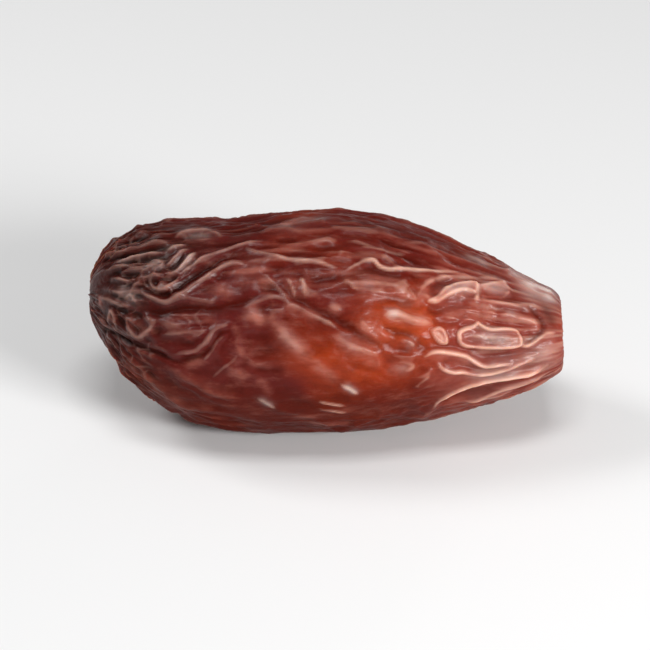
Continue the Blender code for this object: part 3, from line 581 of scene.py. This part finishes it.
# the rest of what shapes the skin and its marks, lengths in mm
skinRule = {
    "thinForWrinkles": 7.5,        # they get lower where the fruit's radius is under this
    "thinPower": 0.8,
    "thinForFolds": 3,
    "endShare": 0.045,             # all relief dies out over this share of the skin at both ends
    "nearFold": 1.0,               # how far a fold keeps wrinkles away
    "nearSteep": 4,                # and how soon
    "crestSize": 0.55,             # crests are what stands above the skin smoothed by this much
    "crestFull": 0.14,             # and full where they stand this high
    "hollowSize": 2.2,             # the same for hollows
    "hollowFull": 0.35,
    "glossHollow": 1.5,
    "netPale": 0.3,                # how pale the small net of wrinkles at the tip gets
    "markSoft": 0.15,
    "dustAndHighlightSoft": 0.12,
    "dullSide": (70, 98),          # degrees from the top, either way
    "shadedSide": (78, 112),
    "dullShare": (0.92, 0.94),     # shares of the skin's length
    "scarShare": (0.935, 0.948),
    "scarRagged": 0.003,
    "amberDull": (68, 12, 31, 4),  # middle angle and its reach, middle distance and its reach
    "amberMottle": 0.18,
    "wineRagged": 1.2,
    "brownSlope": (0.06, 10),      # mm for each degree away from this angle
    "streakMean": 0.5,
    "streakChange": 0.3,
}


def unrolled(points):  # a fold's points in mm along and round the skin, and the radius they are unrolled at
    at = shareAt(np.array([x for x, _ in points]))
    meanRadius = radiusAt(at).mean()
    return [(s * skinLength, math.radians(a) * meanRadius) for s, (_, a) in zip(at, points)], meanRadius


def stamp(field, height, halfWidth, points):  # raises a pinched ridge along the points
    shape = ridgeShape
    spots, meanRadius = unrolled(points)
    line = smoothLine(spots, shape["samples"] * len(points))
    run = np.linspace(0.0, 1.0, len(line))
    fade = np.clip(np.minimum(run, 1 - run) / shape["endShare"], 0, 1) ** shape["endPower"]
    if points[0] == points[-1]:
        fade[:] = 1.0
    crest = halfWidth * (shape["crestNearScar"] if points[0][0] > shape["nearScar"] else shape["crest"])
    reach = shape["reach"] * halfWidth
    for (m, arc), strength in zip(line, fade):
        centre = arc / meanRadius
        r = max(float(radiusAt(m / skinLength)), shape["leastRadius"])
        i = np.arange(max(int((m - reach) / rowStep), 0), min(int((m + reach) / rowStep) + 2, rows))
        half = int(reach / r / columnStep) + 1
        j = round(centre / columnStep) + np.arange(-half, half + 1)
        away2 = ((i * rowStep - m) ** 2)[:, None] + (((j * columnStep - centre) * r) ** 2)[None]
        away = np.sqrt(away2 + crest**2) - crest
        raised = height * strength * np.exp(-away / (shape["fallOff"] * halfWidth))
        block = np.ix_(i, j % columns)
        field[block] = np.maximum(field[block], raised)


def raisePlateau(field, pale, height, edge, light, points):  # raises what lies inside the outline
    margin, flatPart = riseShape["margin"], riseShape["flatPart"]
    spots, meanRadius = unrolled(points)
    outline = smoothLine(spots, riseShape["samples"] * len(points))
    firstAlong, firstRound = outline.min(axis=0) - margin
    lastAlong, lastRound = outline.max(axis=0) + margin
    arcStep = meanRadius * columnStep
    i = np.arange(int(firstAlong / rowStep), min(int(lastAlong / rowStep) + 2, rows))
    j = np.arange(int(firstRound / arcStep), int(lastRound / arcStep) + 2)
    along, around = np.meshgrid(i * rowStep, j * columnStep * meanRadius, indexing="ij")
    inside = np.zeros(along.shape, bool)
    distance = np.full(along.shape, riseShape["far"])
    for (m0, a0), (m1, a1) in zip(outline, np.roll(outline, -1, axis=0)):
        distance = np.minimum(distance, np.hypot(along - m0, around - a0))
        crosses = (a0 > around) != (a1 > around)
        if crosses.any():
            inside ^= crosses & (along < m0 + (m1 - m0) * (around - a0) / (a1 - a0))
    depth = np.where(inside, distance, -distance)
    raised = height * (flatPart * ramp(depth, -edge, edge) + (1 - flatPart) * hump(depth, *riseShape["lip"]))
    block = np.ix_(i, j % columns)
    field[block] = np.maximum(field[block], raised)
    pale[block] = np.maximum(pale[block], light * hump(depth, *riseShape["paleLip"]))


def backFolds():
    rule = backFold
    (first, last), scatter, sway = rule["angles"], rule["scatter"], rule["sway"]
    random = np.random.default_rng(rule["seed"])
    for i in range(rule["count"]):
        centre = first + (last - first) * (i + 0.5 + random.uniform(-scatter, scatter)) / rule["count"]
        xs = np.linspace(random.uniform(*rule["starts"]), random.uniform(*rule["ends"]), rule["bends"])
        strays = np.cumsum(random.uniform(-sway, sway, len(xs)))
        height = rule["height"] * random.uniform(*rule["heights"])
        halfWidth = rule["halfWidth"] * random.uniform(*rule["widths"])
        yield height, halfWidth, list(zip(xs, centre + strays - strays.mean()))


def waves():
    square = skinLength / girth
    return np.fft.fftfreq(rows, 1 / rows)[:, None] / square, np.fft.fftfreq(columns, 1 / columns)[None]


def filtered(field, keep):
    return np.fft.ifft2(np.fft.fft2(field) * keep).real


def noise(count, seed, stretch=1.0, spread=None):  # longer along the fruit if stretch is under 1
    along, around = waves()
    size = np.hypot(along / stretch, around) / count
    if spread is None:
        keep = np.exp(-(size**2))
    else:
        keep = np.exp(-((np.log(np.maximum(size, nearlyZero)) / spread) ** 2))
    field = filtered(np.random.default_rng(seed).standard_normal((rows, columns)), keep)
    return field / field.std()


def smooth(field, size):
    along, around = waves()
    waveLength = girth / np.maximum(np.hypot(along, around), nearlyZero)
    return filtered(field, np.exp(-2 * (math.pi * size / waveLength) ** 2))


def pinched(field, width, crest):  # narrow ridges where the field is zero, smooth hollows between
    raised = np.exp(-(np.sqrt(field**2 + crest**2) - crest) / width)
    return raised - raised.mean()


def wrinkled(name, spread=0.45, crest=0.15):
    count, seed, stretch, width = patterns[name]
    return pinched(noise(count, seed, stretch, spread), width, crest)


def pleated(name, width=0.35, crest=0.1, swings=5, swingStretch=0.5):  # lengthwise, into an end
    count, seed, wander = patterns[name]
    return pinched(np.sin(angle * count / 2 + wander * noise(swings, seed, swingStretch)), width, crest)


def uneven(name, field):
    mean, change, least, most = cover[name]
    return np.clip(mean + change * field, least, most)


def hump(value, centre, halfLength):
    return np.exp(-(((value - centre) / halfLength) ** 2))


def ramp(value, low, high):
    k = np.clip((value - low) / (high - low), 0, 1)
    return k * k * (3 - 2 * k)


def topLines():  # fine lengthwise lines over the top and the shoulder, about -2 to 2
    zone = hump(fromTop, *bands["topLines"]) * ramp(fromTip, *spans["topLinesStart"])
    return zone * (1 - ramp(fromTip, *spans["topLinesEnd"])) * noise(*patterns["topLines"])


def handLaid():  # the folds and marks that are listed one by one, and the back's
    up, down, pale, bloomAndSheen, grey, dark = np.zeros((6, rows, columns))
    for height, halfWidth, light, points in ridges:
        stamp(up, height, halfWidth, points)
        stamp(pale, light, max(ridgeShape["paleWidth"] * halfWidth, ridgeShape["paleLeast"]), points)
    for height, edge, light, points in plateaus:
        raisePlateau(up, pale, height, edge, light, points)
    for height, halfWidth, points in backFolds():
        stamp(up, height, halfWidth, points)
        stamp(pale, backFold["pale"], ridgeShape["paleWidth"] * halfWidth, points)
    for crease in creases:
        stamp(down, *crease)
    for strength, halfWidth, points in hazeAndSheen:
        stamp(bloomAndSheen, strength, halfWidth, points)
        stamp(up, heights["marksRaised"] * strength, halfWidth, points)
    for mark in dustAndHighlights:
        stamp(grey, *mark)
    for strength, halfWidth, points in stainsAndShade:
        stamp(dark, strength, halfWidth, points)
        stamp(down, heights["stainsAndShadeSunk"] * strength, halfWidth, points)
    return up - down, pale, bloomAndSheen, grey, dark


def skinRelief():
    folds, pale, bloomAndSheen, grey, dark = handLaid()
    near = smooth(np.abs(folds), skinRule["nearFold"])
    free = 1 - less["nearFolds"] * np.clip(skinRule["nearSteep"] * near, 0, 1)
    tipZone, scarZone = 1 - ramp(fromTip, *spans["tipEnds"]), ramp(fromTip, *spans["scarStarts"])
    topZone = hump(fromTop, *bands["top"]) * (1 - tipZone)
    calm = np.ones((rows, columns))
    for amount, at, atReach, along, alongReach in calmZones:
        calm *= 1 - amount * hump(fromTop, at, atReach) * hump(fromTip, along, alongReach)
    patches = noise(*patterns["patches"])
    patchy = uneven("patchy", patches)
    calmTop = hump(fromTop, *bands["calmTop"]) * (1 - tipZone)
    pleatZone = tipZone * patchy * (1 - less["pleatsUnderTip"] * hump(fromTop, *bands["underTipPleats"]))
    netZone = tipZone * patchy * (1 - less["netUnderTip"] * hump(fromTop, *bands["underTipNet"]))
    net = netZone * wrinkled("tipNet")

    zones = {
        "broad": calm * (1 - less["broadOnTop"] * topZone) * uneven("broad", noise(*patterns["drift"])),
        "middle": calm * patchy * (1 - less["middleOnTop"] * calmTop),
        "long": calm * topZone,
        "tipPleats": pleatZone,
        "scarPleats": calm * scarZone * patchy,
        "fineFolds": (1 - less["fineFoldsInCalm"] * (1 - calm)) * (1 - less["fineFoldsAtTip"] * tipZone)
                     * uneven("fineFolds", patches),
    }
    broad = heights["tipNet"] * net
    for name, zone in zones.items():
        broad += heights[name] * zone * (pleated(name) if name.endswith("Pleats") else wrinkled(name))
    smallZone = calm * uneven("small", noise(*patterns["smallPatches"]))
    fine = heights["small"] * smallZone * noise(*patterns["small"])
    fine += heights["tiny"] * noise(*patterns["tiny"])
    fine += heights["streaks"] * scarZone * noise(*patterns["streaks"])
    fine += heights["topLines"] * topLines()

    slim = np.clip(radius / skinRule["thinForWrinkles"], 0, 1) ** skinRule["thinPower"]
    relief = folds * np.clip(radius / skinRule["thinForFolds"], 0, 1) + slim * (free * broad + fine)
    relief += heights["lumps"] * noise(*patterns["lumps"])
    relief *= ramp(np.minimum(share, 1 - share), 0, skinRule["endShare"])
    relief *= 1 - less["reliefAtRim"] * ramp(fromTip, *spans["rimStarts"])
    pale = np.maximum(pale, np.clip(net, 0, skinRule["netPale"]))
    pale *= uneven("pale", noise(*patterns["palePatches"]))
    grey *= uneven("dustAndHighlights", noise(*patterns["dustAndHighlightPatches"]))
    return relief, pale, bloomAndSheen, grey, dark


def skinFields():  # what the node tree and the material read, by the name of the attribute
    rule = skinRule
    relief, pale, bloomAndSheen, grey, dark = skinRelief()
    crest = np.clip((relief - smooth(relief, rule["crestSize"])) / rule["crestFull"], -1, 1)
    dullSide = ramp(awayFromTop, *rule["dullSide"]) * (1 - ramp(fromTip, *spans["dullSideEnds"]))
    dullSide *= ramp(fromTip, *spans["sideStarts"])
    amber = rule["amberMottle"] * noise(*patterns["amberPatches"])
    amber *= ramp(fromTip, *spans["amberMottleStarts"])
    for strength, at, atReach, along, alongReach in amberZones:
        amber += strength * hump(fromTip, along, alongReach) * hump(fromTop, at, atReach)
    at, atReach, along, alongReach = rule["amberDull"]
    dullTop = hump(fromTop, *bands["dullTop"]) * (1 - ramp(fromTip, *spans["dullTopEnds"]))
    gloss = (1 - less["glossOnSide"] * dullSide) * (1 - ramp(share, *rule["dullShare"]))
    gloss *= 1 - less["glossInHollows"] * np.clip(-rule["glossHollow"] * crest, 0, 1)
    gloss *= 1 - less["glossOnTop"] * dullTop
    gloss *= 1 - less["glossOnAmber"] * hump(fromTip, along, alongReach) * hump(fromTop, at, atReach)
    under = ramp(awayFromTop, *rule["shadedSide"]) * ramp(fromTip, *spans["sideStarts"])
    under *= 1 - less["shadeAtScar"] * ramp(fromTip, *spans["shadedSideEnds"])
    slope, slopeMiddle = rule["brownSlope"]
    red = ramp(fromTip + rule["wineRagged"] * noise(*patterns["winePatches"]), *spans["wineEnds"])
    streaks = rule["streakMean"] + rule["streakChange"] * noise(*patterns["streaks"])
    return {
        "rise": relief * mm,
        "crest": crest,
        "hollow": np.clip((relief - smooth(relief, rule["hollowSize"])) / rule["hollowFull"], -1, 1),
        "pale": pale,
        "hazeAndSheen": smooth(bloomAndSheen, rule["markSoft"]),
        "dustAndHighlights": smooth(grey, rule["dustAndHighlightSoft"]),
        "stainAndShade": smooth(dark, rule["markSoft"]),
        "amber": np.clip(amber, 0, 1),
        "gloss": gloss,
        "under": under,
        "streak": ramp(fromTip, *spans["streaksStart"]) * streaks,
        "lines": topLines(),
        "tip": 1 - ramp(fromTip + slope * np.abs(fromTop - slopeMiddle), *spans["brownEnds"]),
        "wineZone": 1 - red * (1 - less["redOnTop"] * hump(fromTop, *bands["wineTop"])),
        "scar": ramp(fromTip, *spans["pinkStarts"]) * hump(fromTop, *bands["pink"]),
        "end": ramp(share + rule["scarRagged"] * noise(*patterns["rimPatches"]), *rule["scarShare"]),
        "slim": np.clip(radius / rule["thinForWrinkles"], 0, 1),
    }


def read(field, s, a):  # between the grid's four nearest points
    i, j = s * (rows - 1), (a / turn % 1.0) * columns
    i0, j0 = np.minimum(i.astype(int), rows - 2), j.astype(int)
    fi, fj = i - i0, j - j0
    j0, j1 = j0 % columns, (j0 + 1) % columns
    upper = field[i0, j0] * (1 - fj) + field[i0, j1] * fj
    lower = field[i0 + 1, j0] * (1 - fj) + field[i0 + 1, j1] * fj
    return upper * (1 - fi) + lower * fi


def bareSkin():  # the fruit without folds, which carries the relief and the marks as attributes
    shape = bmesh.new()
    around, along = fruit["pointsRound"], fruit["pointsAlong"]
    bmesh.ops.create_uvsphere(shape, u_segments=around, v_segments=along, radius=1.0)
    mesh = bpy.data.meshes.new("dateSkin")
    shape.to_mesh(mesh)
    shape.free()
    unit = np.zeros(3 * len(mesh.vertices))
    mesh.vertices.foreach_get("co", unit)
    unit = unit.reshape(-1, 3)
    s = 1 - np.arccos(np.clip(unit[:, 2], -1, 1)) / math.pi
    s = s - fruit["crowding"] * np.sin(turn * s)
    a = np.arctan2(unit[:, 1], unit[:, 0])
    a = a - fruit["crowdingRound"] * np.sin(a - fruit["crowdedAt"])
    mesh.vertices.foreach_set("co", (barePoints(s, a) * mm).ravel())
    mesh.update()
    print("bare fruit:", len(mesh.vertices), "points")
    for name, field in skinFields().items():
        attribute = mesh.attributes.new(name, "FLOAT", "POINT")
        values = read(np.broadcast_to(field, (rows, columns)), s, a)
        attribute.data.foreach_set("value", values.astype(np.float32))
    print("folds laid:", len(ridges) + len(plateaus) + len(creases), "by hand,", backFold["count"], "by rule")
    mesh.shade_smooth()
    mesh.update()
    skin = bpy.data.objects.new("dateSkin", mesh)
    bpy.context.scene.collection.objects.link(skin)
    return skin


# the node tree's inputs
crinkles = {
    "foldScale": 1.0,
    "crinkleHeight": 0.00003,
    "crinkleDensity": 900.0,
    "crinkleDetail": 3.0,
    "crinkleRoughness": 0.55,
    "crinklesOnSkin": 4.0,
    "crinklesOnScar": 14.0,
    "pressedBelow": 0.0025,        # the skin is smooth under this height
}


def skinTree(material):  # raises the folds and fine crinkles off the bare fruit and presses its belly flat
    tree = bpy.data.node_groups.new("dateSkinFolds", "GeometryNodeTree")
    sockets = {}
    tree.interface.new_socket("Geometry", in_out="INPUT", socket_type="NodeSocketGeometry")
    for name, value in crinkles.items():
        socket = tree.interface.new_socket(name, in_out="INPUT", socket_type="NodeSocketFloat")
        socket.default_value = value
        sockets[name] = socket.identifier
    tree.interface.new_socket("Geometry", in_out="OUTPUT", socket_type="NodeSocketGeometry")
    add, link = tree.nodes.new, tree.links.new
    start, end = add("NodeGroupInput"), add("NodeGroupOutput")

    def named(name):
        node = add("GeometryNodeInputNamedAttribute")
        node.data_type = "FLOAT"
        node.inputs["Name"].default_value = name
        return node.outputs["Attribute"]

    def computed(operation, *values):
        node = add("ShaderNodeMath")
        node.operation = operation
        for socket, value in zip(node.inputs, values):
            if isinstance(value, (int, float)):
                socket.default_value = value
            else:
                link(value, socket)
        return node.outputs["Value"]

    place = add("GeometryNodeInputPosition").outputs["Position"]
    grain = add("ShaderNodeTexNoise")
    link(place, grain.inputs["Vector"])
    link(start.outputs["crinkleDensity"], grain.inputs["Scale"])
    link(start.outputs["crinkleDetail"], grain.inputs["Detail"])
    link(start.outputs["crinkleRoughness"], grain.inputs["Roughness"])
    centred = computed("SUBTRACT", grain.outputs["Fac"], 0.5)
    crinkle = computed("MULTIPLY", centred, start.outputs["crinkleHeight"])
    onSkin = computed("MULTIPLY", named("slim"), start.outputs["crinklesOnSkin"])
    onScar = computed("MULTIPLY", named("end"), start.outputs["crinklesOnScar"])
    crinkle = computed("MULTIPLY", crinkle, computed("ADD", onSkin, onScar))
    rise = computed("ADD", computed("MULTIPLY", named("rise"), start.outputs["foldScale"]), crinkle)
    parts = add("ShaderNodeSeparateXYZ")
    link(place, parts.inputs["Vector"])
    free = computed("DIVIDE", parts.outputs["Z"], start.outputs["pressedBelow"])
    free = computed("MINIMUM", computed("MAXIMUM", free, 0.0), 1.0)
    offset = add("ShaderNodeVectorMath")
    offset.operation = "SCALE"
    link(add("GeometryNodeInputNormal").outputs["Normal"], offset.inputs["Vector"])
    link(computed("MULTIPLY", rise, free), offset.inputs["Scale"])
    lifted = add("GeometryNodeSetPosition")
    link(start.outputs["Geometry"], lifted.inputs["Geometry"])
    link(offset.outputs["Vector"], lifted.inputs["Offset"])

    now = add("ShaderNodeSeparateXYZ")
    link(add("GeometryNodeInputPosition").outputs["Position"], now.inputs["Vector"])
    flat = add("ShaderNodeCombineXYZ")
    link(now.outputs["X"], flat.inputs["X"])
    link(now.outputs["Y"], flat.inputs["Y"])
    link(computed("MAXIMUM", now.outputs["Z"], 0.0), flat.inputs["Z"])
    pressed = add("GeometryNodeSetPosition")
    link(lifted.outputs["Geometry"], pressed.inputs["Geometry"])
    link(flat.outputs["Vector"], pressed.inputs["Position"])
    real = add("GeometryNodeRealizeInstances")
    link(pressed.outputs["Geometry"], real.inputs["Geometry"])
    finish = add("GeometryNodeSetMaterial")
    finish.inputs["Material"].default_value = material
    link(real.outputs["Geometry"], finish.inputs["Geometry"])
    link(finish.outputs["Geometry"], end.inputs["Geometry"])
    return tree, sockets


def foldedSkin(material):
    skin = bareSkin()
    tree, sockets = skinTree(material)
    modifier = skin.modifiers.new("folds", "NODES")
    modifier.node_group = tree
    for name, identifier in sockets.items():
        modifier[identifier] = crinkles[name]
    bpy.context.view_layer.update()
    graph = bpy.context.evaluated_depsgraph_get()
    folded = bpy.data.meshes.new_from_object(
        skin.evaluated_get(graph), preserve_all_data_layers=True, depsgraph=graph)
    skin.modifiers.clear()
    bare = skin.data
    skin.data = folded
    bpy.data.meshes.remove(bare)
    folded.name = "dateSkin"
    low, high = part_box("date")
    points = np.zeros(3 * len(folded.vertices))
    folded.vertices.foreach_get("co", points)
    points = points.reshape(-1, 3)
    shift = [(low[i] + high[i]) / 2 - (points[:, i].min() + points[:, i].max()) / 2 for i in (0, 1)]
    folded.transform(Matrix.Translation((*shift, 0.0)))
    return skin


# colours of the dried skin
skinColours = {
    "red": (0.150, 0.0120, 0.0060),
    "wine": (0.105, 0.0100, 0.0085),      # the tip's half
    "amber": (0.42, 0.046, 0.0035),
    "brown": (0.034, 0.0060, 0.0038),     # towards the tip
    "darkAndShade": (0.060, 0.0040, 0.0015),      # dark red for fibres, lines and stains, and painted shade in the hollows
    "tipGrooveShade": (0.016, 0.0028, 0.0014),       # painted shade between the ridges of the tip
    "blotch": (0.100, 0.0090, 0.0045),
    "bloomAndSheen": (0.84, 0.500, 0.380),        # dry crests, and painted highlight on them
    "tipBloomAndSheen": (0.47, 0.275, 0.225),
    "pink": (0.24, 0.033, 0.020),         # towards the scar
    "blush": (0.46, 0.150, 0.110),        # raised skin there
    "shade": (0.080, 0.0080, 0.0032),     # underneath
    # pale lilac for the fibres and lines, and for the painted soft sheen
    "hazeAndSheen": (0.43, 0.145, 0.104),
    # grey for dust and for painted glints and highlights
    "dustAndHighlights": (0.62, 0.500, 0.450),
    "beige": (0.42, 0.210, 0.160),        # streaks towards the scar
    "scarred": (0.13, 0.050, 0.026),      # where the stalk was
    "pith": (0.26, 0.130, 0.070),
}

# layers of colour: where each sets in and is full on the scale of what steers it, and how much then shows
layers = {
    "blotches": (0.35, 0.7, 0.45),
    "brown": (0.0, 1.0, 0.75),
    "shadeInHollows": (-0.15, -0.9, 0.7),
    "shadeInGrooves": (-0.15, -0.9, 0.4),
    "pink": (0.0, 1.0, 0.7),
    "blush": (0.0, 1.0, 0.8),
    "shade": (0.0, 1.0, 0.8),
    "streaks": (0.4, 1.0, 0.5),
    "paleFibres": (0.52, 0.72, 0.2),
    "darkFibres": (0.48, 0.3, 0.35),
    "paleLines": (0.2, 2.0, 0.35),
    "darkLines": (-0.2, -2.0, 0.5),
    "stainsAndShade": (0.0, 1.0, 0.8),
    "tipGrooveShading": (-0.05, -0.8, 0.85),
    "hazeAndSheen": (0.1, 1.0, 0.7),
    "dryCrestsAndHighlights": (0.4, 1.0, 0.18),
    "paleLips": (0.15, 1.0, 0.6),
    "dustAndHighlights": (0.0, 1.0, 0.85),
    "pith": (0.42, 0.62, 1.0),
    "scar": (0.0, 1.0, 0.9),
}

# what weakens or strengthens a layer: from, to, how much at from, how much at to
steering = {
    "scarOnHollowShade": (0.0, 1.0, 1.0, 0.4),
    "amberOnHollowShade": (0.0, 1.0, 1.0, 0.5),
    "raisedOnBlush": (-0.2, 1.0, 0.0, 1.0),
    "fibresOnHazeAndSheen": (0.38, 0.62, 0.45, 1.25),
}

# grains of the skin: scale, detail, roughness, and under 1 how far they are drawn out along the fruit
grains = {
    "blotches": (260.0, 3.0, 0.5, 1.0),
    "fibres": (900.0, 4.0, 0.6, 0.35),
    "pith": (1400.0, 4.0, 0.65, 1.0),
    "sheen": (700.0, 2.0, 0.5, 1.0),
    "raisedFibres": (1100.0, 2.0, 0.5, 0.35),
    "pores": (2600.0, 3.0, 0.6, 1.0),
}

# the waxy coat and the flesh under it
skinFinish = {
    "sheen": (0.3, 0.7, 0.30, 0.48),         # from and to on its grain, then the roughness there
    "coat": 0.32,
    "fibres": (0.4, 0.7),
    "fibresRaised": (0.00012, 0.2),          # depth, strength
    "poresRaised": (0.00010, 0.5),
    "constants": {
        "IOR": 1.12,
        "Coat Roughness": 0.29,
        "Subsurface Weight": 0.3,
        "Subsurface Radius": (1.0, 0.25, 0.1),
        "Subsurface Scale": 0.0015,
    },
}


def skinMaterial():
    material = bpy.data.materials.new("dateSkin")
    material.use_nodes = True
    tree = material.node_tree
    add, link = tree.nodes.new, tree.links.new
    shader = tree.nodes["Principled BSDF"]

    def named(name):
        node = add("ShaderNodeAttribute")
        node.attribute_name = name
        return node.outputs["Fac"]

    def mapped(value, low, high, toLow=0.0, toHigh=1.0):
        node = add("ShaderNodeMapRange")
        for name, number in (("From Min", low), ("From Max", high), ("To Min", toLow), ("To Max", toHigh)):
            node.inputs[name].default_value = number
        link(value, node.inputs["Value"])
        return node.outputs["Result"]

    def mixed(factor, a, b):
        node = add("ShaderNodeMix")
        node.data_type = "RGBA"
        for index, value in ((0, factor), (6, a), (7, b)):
            if isinstance(value, tuple):
                node.inputs[index].default_value = (*value, 1)
            else:
                link(value, node.inputs[index])
        return node.outputs[2]

    def product(a, b):
        node = add("ShaderNodeMath")
        node.operation = "MULTIPLY"
        link(a, node.inputs[0])
        link(b, node.inputs[1])
        return node.outputs["Value"]

    def grain(name):
        scale, detail, roughness, drawnOut = grains[name]
        node = add("ShaderNodeTexNoise")
        node.inputs["Scale"].default_value = scale
        node.inputs["Detail"].default_value = detail
        node.inputs["Roughness"].default_value = roughness
        drawn = add("ShaderNodeVectorMath")
        drawn.operation = "MULTIPLY"
        drawn.inputs[1].default_value = (drawnOut, 1, 1)
        link(add("ShaderNodeTexCoord").outputs["Object"], drawn.inputs[0])
        link(drawn.outputs["Vector"], node.inputs["Vector"])
        return node.outputs["Fac"]

    def layer(name, value):
        start, full, amount = layers[name]
        return mapped(value, start, full, 0.0, amount)

    def bumped(height, depth, strength, below=None):
        node = add("ShaderNodeBump")
        node.inputs["Strength"].default_value = strength
        node.inputs["Distance"].default_value = depth
        link(height, node.inputs["Height"])
        if below:
            link(below, node.inputs["Normal"])
        return node.outputs["Normal"]

    c = skinColours
    base = mixed(named("wineZone"), c["red"], c["wine"])
    base = mixed(named("amber"), base, c["amber"])
    base = mixed(layer("blotches", grain("blotches")), base, c["blotch"])
    base = mixed(layer("brown", named("tip")), base, c["brown"])
    scarOn = mapped(named("scar"), *steering["scarOnHollowShade"])
    # how strongly the painted shade in hollows and grooves shows: weaker towards the scar and in the amber
    depth = product(scarOn, mapped(named("amber"), *steering["amberOnHollowShade"]))
    # painted shade in the broad hollows and the narrow grooves
    base = mixed(product(layer("shadeInHollows", named("hollow")), depth), base, c["darkAndShade"])
    base = mixed(product(layer("shadeInGrooves", named("crest")), depth), base, c["darkAndShade"])
    base = mixed(layer("pink", named("scar")), base, c["pink"])
    raised = mapped(named("hollow"), *steering["raisedOnBlush"])
    base = mixed(layer("blush", product(named("scar"), raised)), base, c["blush"])
    base = mixed(layer("shade", named("under")), base, c["shade"])
    base = mixed(layer("streaks", named("streak")), base, c["beige"])
    fibres = grain("fibres")
    base = mixed(layer("paleFibres", fibres), base, c["hazeAndSheen"])
    base = mixed(layer("darkFibres", fibres), base, c["darkAndShade"])
    base = mixed(layer("paleLines", named("lines")), base, c["hazeAndSheen"])
    base = mixed(layer("darkLines", named("lines")), base, c["darkAndShade"])
    # dark stains, and painted shade along the creases and the top edge
    base = mixed(layer("stainsAndShade", named("stainAndShade")), base, c["darkAndShade"])
    # painted shade in the grooves towards the tip
    base = mixed(product(layer("tipGrooveShading", named("crest")), named("tip")), base, c["tipGrooveShade"])
    # painted soft sheen with some pale bloom, along the haze marks
    clouded = product(layer("hazeAndSheen", named("hazeAndSheen")), mapped(fibres, *steering["fibresOnHazeAndSheen"]))
    base = mixed(clouded, base, c["hazeAndSheen"])
    # pale dry skin and painted highlight on the crests and rims
    crestBloomAndHighlight = mixed(named("wineZone"), c["bloomAndSheen"], c["tipBloomAndSheen"])
    # lighter crests where the skin is glossy: painted highlight and dry skin
    base = mixed(product(layer("dryCrestsAndHighlights", named("crest")), named("gloss")), base, crestBloomAndHighlight)
    # pale lines on crests, rims and the tip's net: dry skin and painted highlight
    base = mixed(layer("paleLips", named("pale")), base, crestBloomAndHighlight)
    # painted glints and highlights, with some grey dust
    base = mixed(layer("dustAndHighlights", named("dustAndHighlights")), base, c["dustAndHighlights"])
    stalk = mixed(layer("pith", grain("pith")), c["scarred"], c["pith"])
    base = mixed(layer("scar", named("end")), base, stalk)
    link(base, shader.inputs["Base Color"])

    finish = skinFinish
    link(mapped(grain("sheen"), *finish["sheen"]), shader.inputs["Roughness"])
    link(mapped(named("gloss"), 0.0, 1.0, 0.0, finish["coat"]), shader.inputs["Coat Weight"])
    for socket, value in finish["constants"].items():
        shader.inputs[socket].default_value = value
    raisedFibres = bumped(mapped(grain("raisedFibres"), *finish["fibres"]), *finish["fibresRaised"])
    link(bumped(grain("pores"), *finish["poresRaised"], raisedFibres), shader.inputs["Normal"])
    link(raisedFibres, shader.inputs["Coat Normal"])
    return material


skin = foldedSkin(skinMaterial())
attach(skin, "root")
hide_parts("date")
print("folded skin:", len(skin.data.polygons), "faces")

# soft boxes: place, width and height, power
lightKit = {
    "key": ((0.27, -0.28, 0.17), (0.14, 0.09), 1.68),
    "left": ((-0.26, 0.08, 0.29), (0.13, 0.13), 0.5),
    "top": ((0.0, -0.10, 0.44), (0.20, 0.12), 0.68),
    "back": ((0.22, 0.37, 0.10), (0.08, 0.10), 0.14),
}
studio = {
    "lightsAimAt": (0.0, 0.0, 0.01),
    "world": 0.16,
    "floorTone": 0.85,
    "floorRoughness": 0.9,
    "floorHalf": 2.0,
    "elevation": 32.0,
    "distance": 0.326,
    "lens": 180.0,
    "nearest": 0.01,
    "farthest": 10.0,
    "lookAt": (0.0, 0.0, 0.0098),
}


def softBox(name, place, size, power):
    light = bpy.data.lights.new(name, "AREA")
    light.shape = "RECTANGLE"
    light.size, light.size_y = size
    light.energy = power
    lamp = bpy.data.objects.new(name, light)
    bpy.context.scene.collection.objects.link(lamp)
    lamp.visible_camera = False
    lamp.location = place
    lamp.rotation_mode = "QUATERNION"
    lamp.rotation_quaternion = (Vector(studio["lightsAimAt"]) - Vector(place)).to_track_quat("-Z", "Y")


def paperFloor():
    half, tone = studio["floorHalf"], studio["floorTone"]
    mesh = bpy.data.meshes.new("floor")
    corners = [(-half, -half, 0), (half, -half, 0), (half, half, 0), (-half, half, 0)]
    mesh.from_pydata(corners, [], [(0, 1, 2, 3)])
    floor = bpy.data.objects.new("floor", mesh)
    bpy.context.scene.collection.objects.link(floor)
    paper = bpy.data.materials.new("palePaper")
    paper.use_nodes = True
    shader = paper.node_tree.nodes["Principled BSDF"]
    shader.inputs["Base Color"].default_value = (tone, tone, tone, 1)
    shader.inputs["Roughness"].default_value = studio["floorRoughness"]
    mesh.materials.append(paper)


def camera():
    lens = bpy.data.cameras.new("camera")
    lens.lens = studio["lens"]
    lens.clip_start, lens.clip_end = studio["nearest"], studio["farthest"]
    view = bpy.data.objects.new("camera", lens)
    bpy.context.scene.collection.objects.link(view)
    bpy.context.scene.camera = view
    tilt = math.radians(studio["elevation"])
    away = Vector((0, -math.cos(tilt), math.sin(tilt)))
    view.location = Vector(studio["lookAt"]) + away * studio["distance"]
    view.rotation_mode = "QUATERNION"
    view.rotation_quaternion = (-away).to_track_quat("-Z", "Y")


for name, values in lightKit.items():
    softBox(name, *values)
world = bpy.data.worlds.new("studio")
bpy.context.scene.world = world
world.use_nodes = True
sky = world.node_tree.nodes["Background"]
sky.inputs["Color"].default_value = (1, 1, 1, 1)
sky.inputs["Strength"].default_value = studio["world"]
paperFloor()
camera()
bpy.context.scene.view_settings.view_transform = "Standard"
print("floor, lights and camera are set")
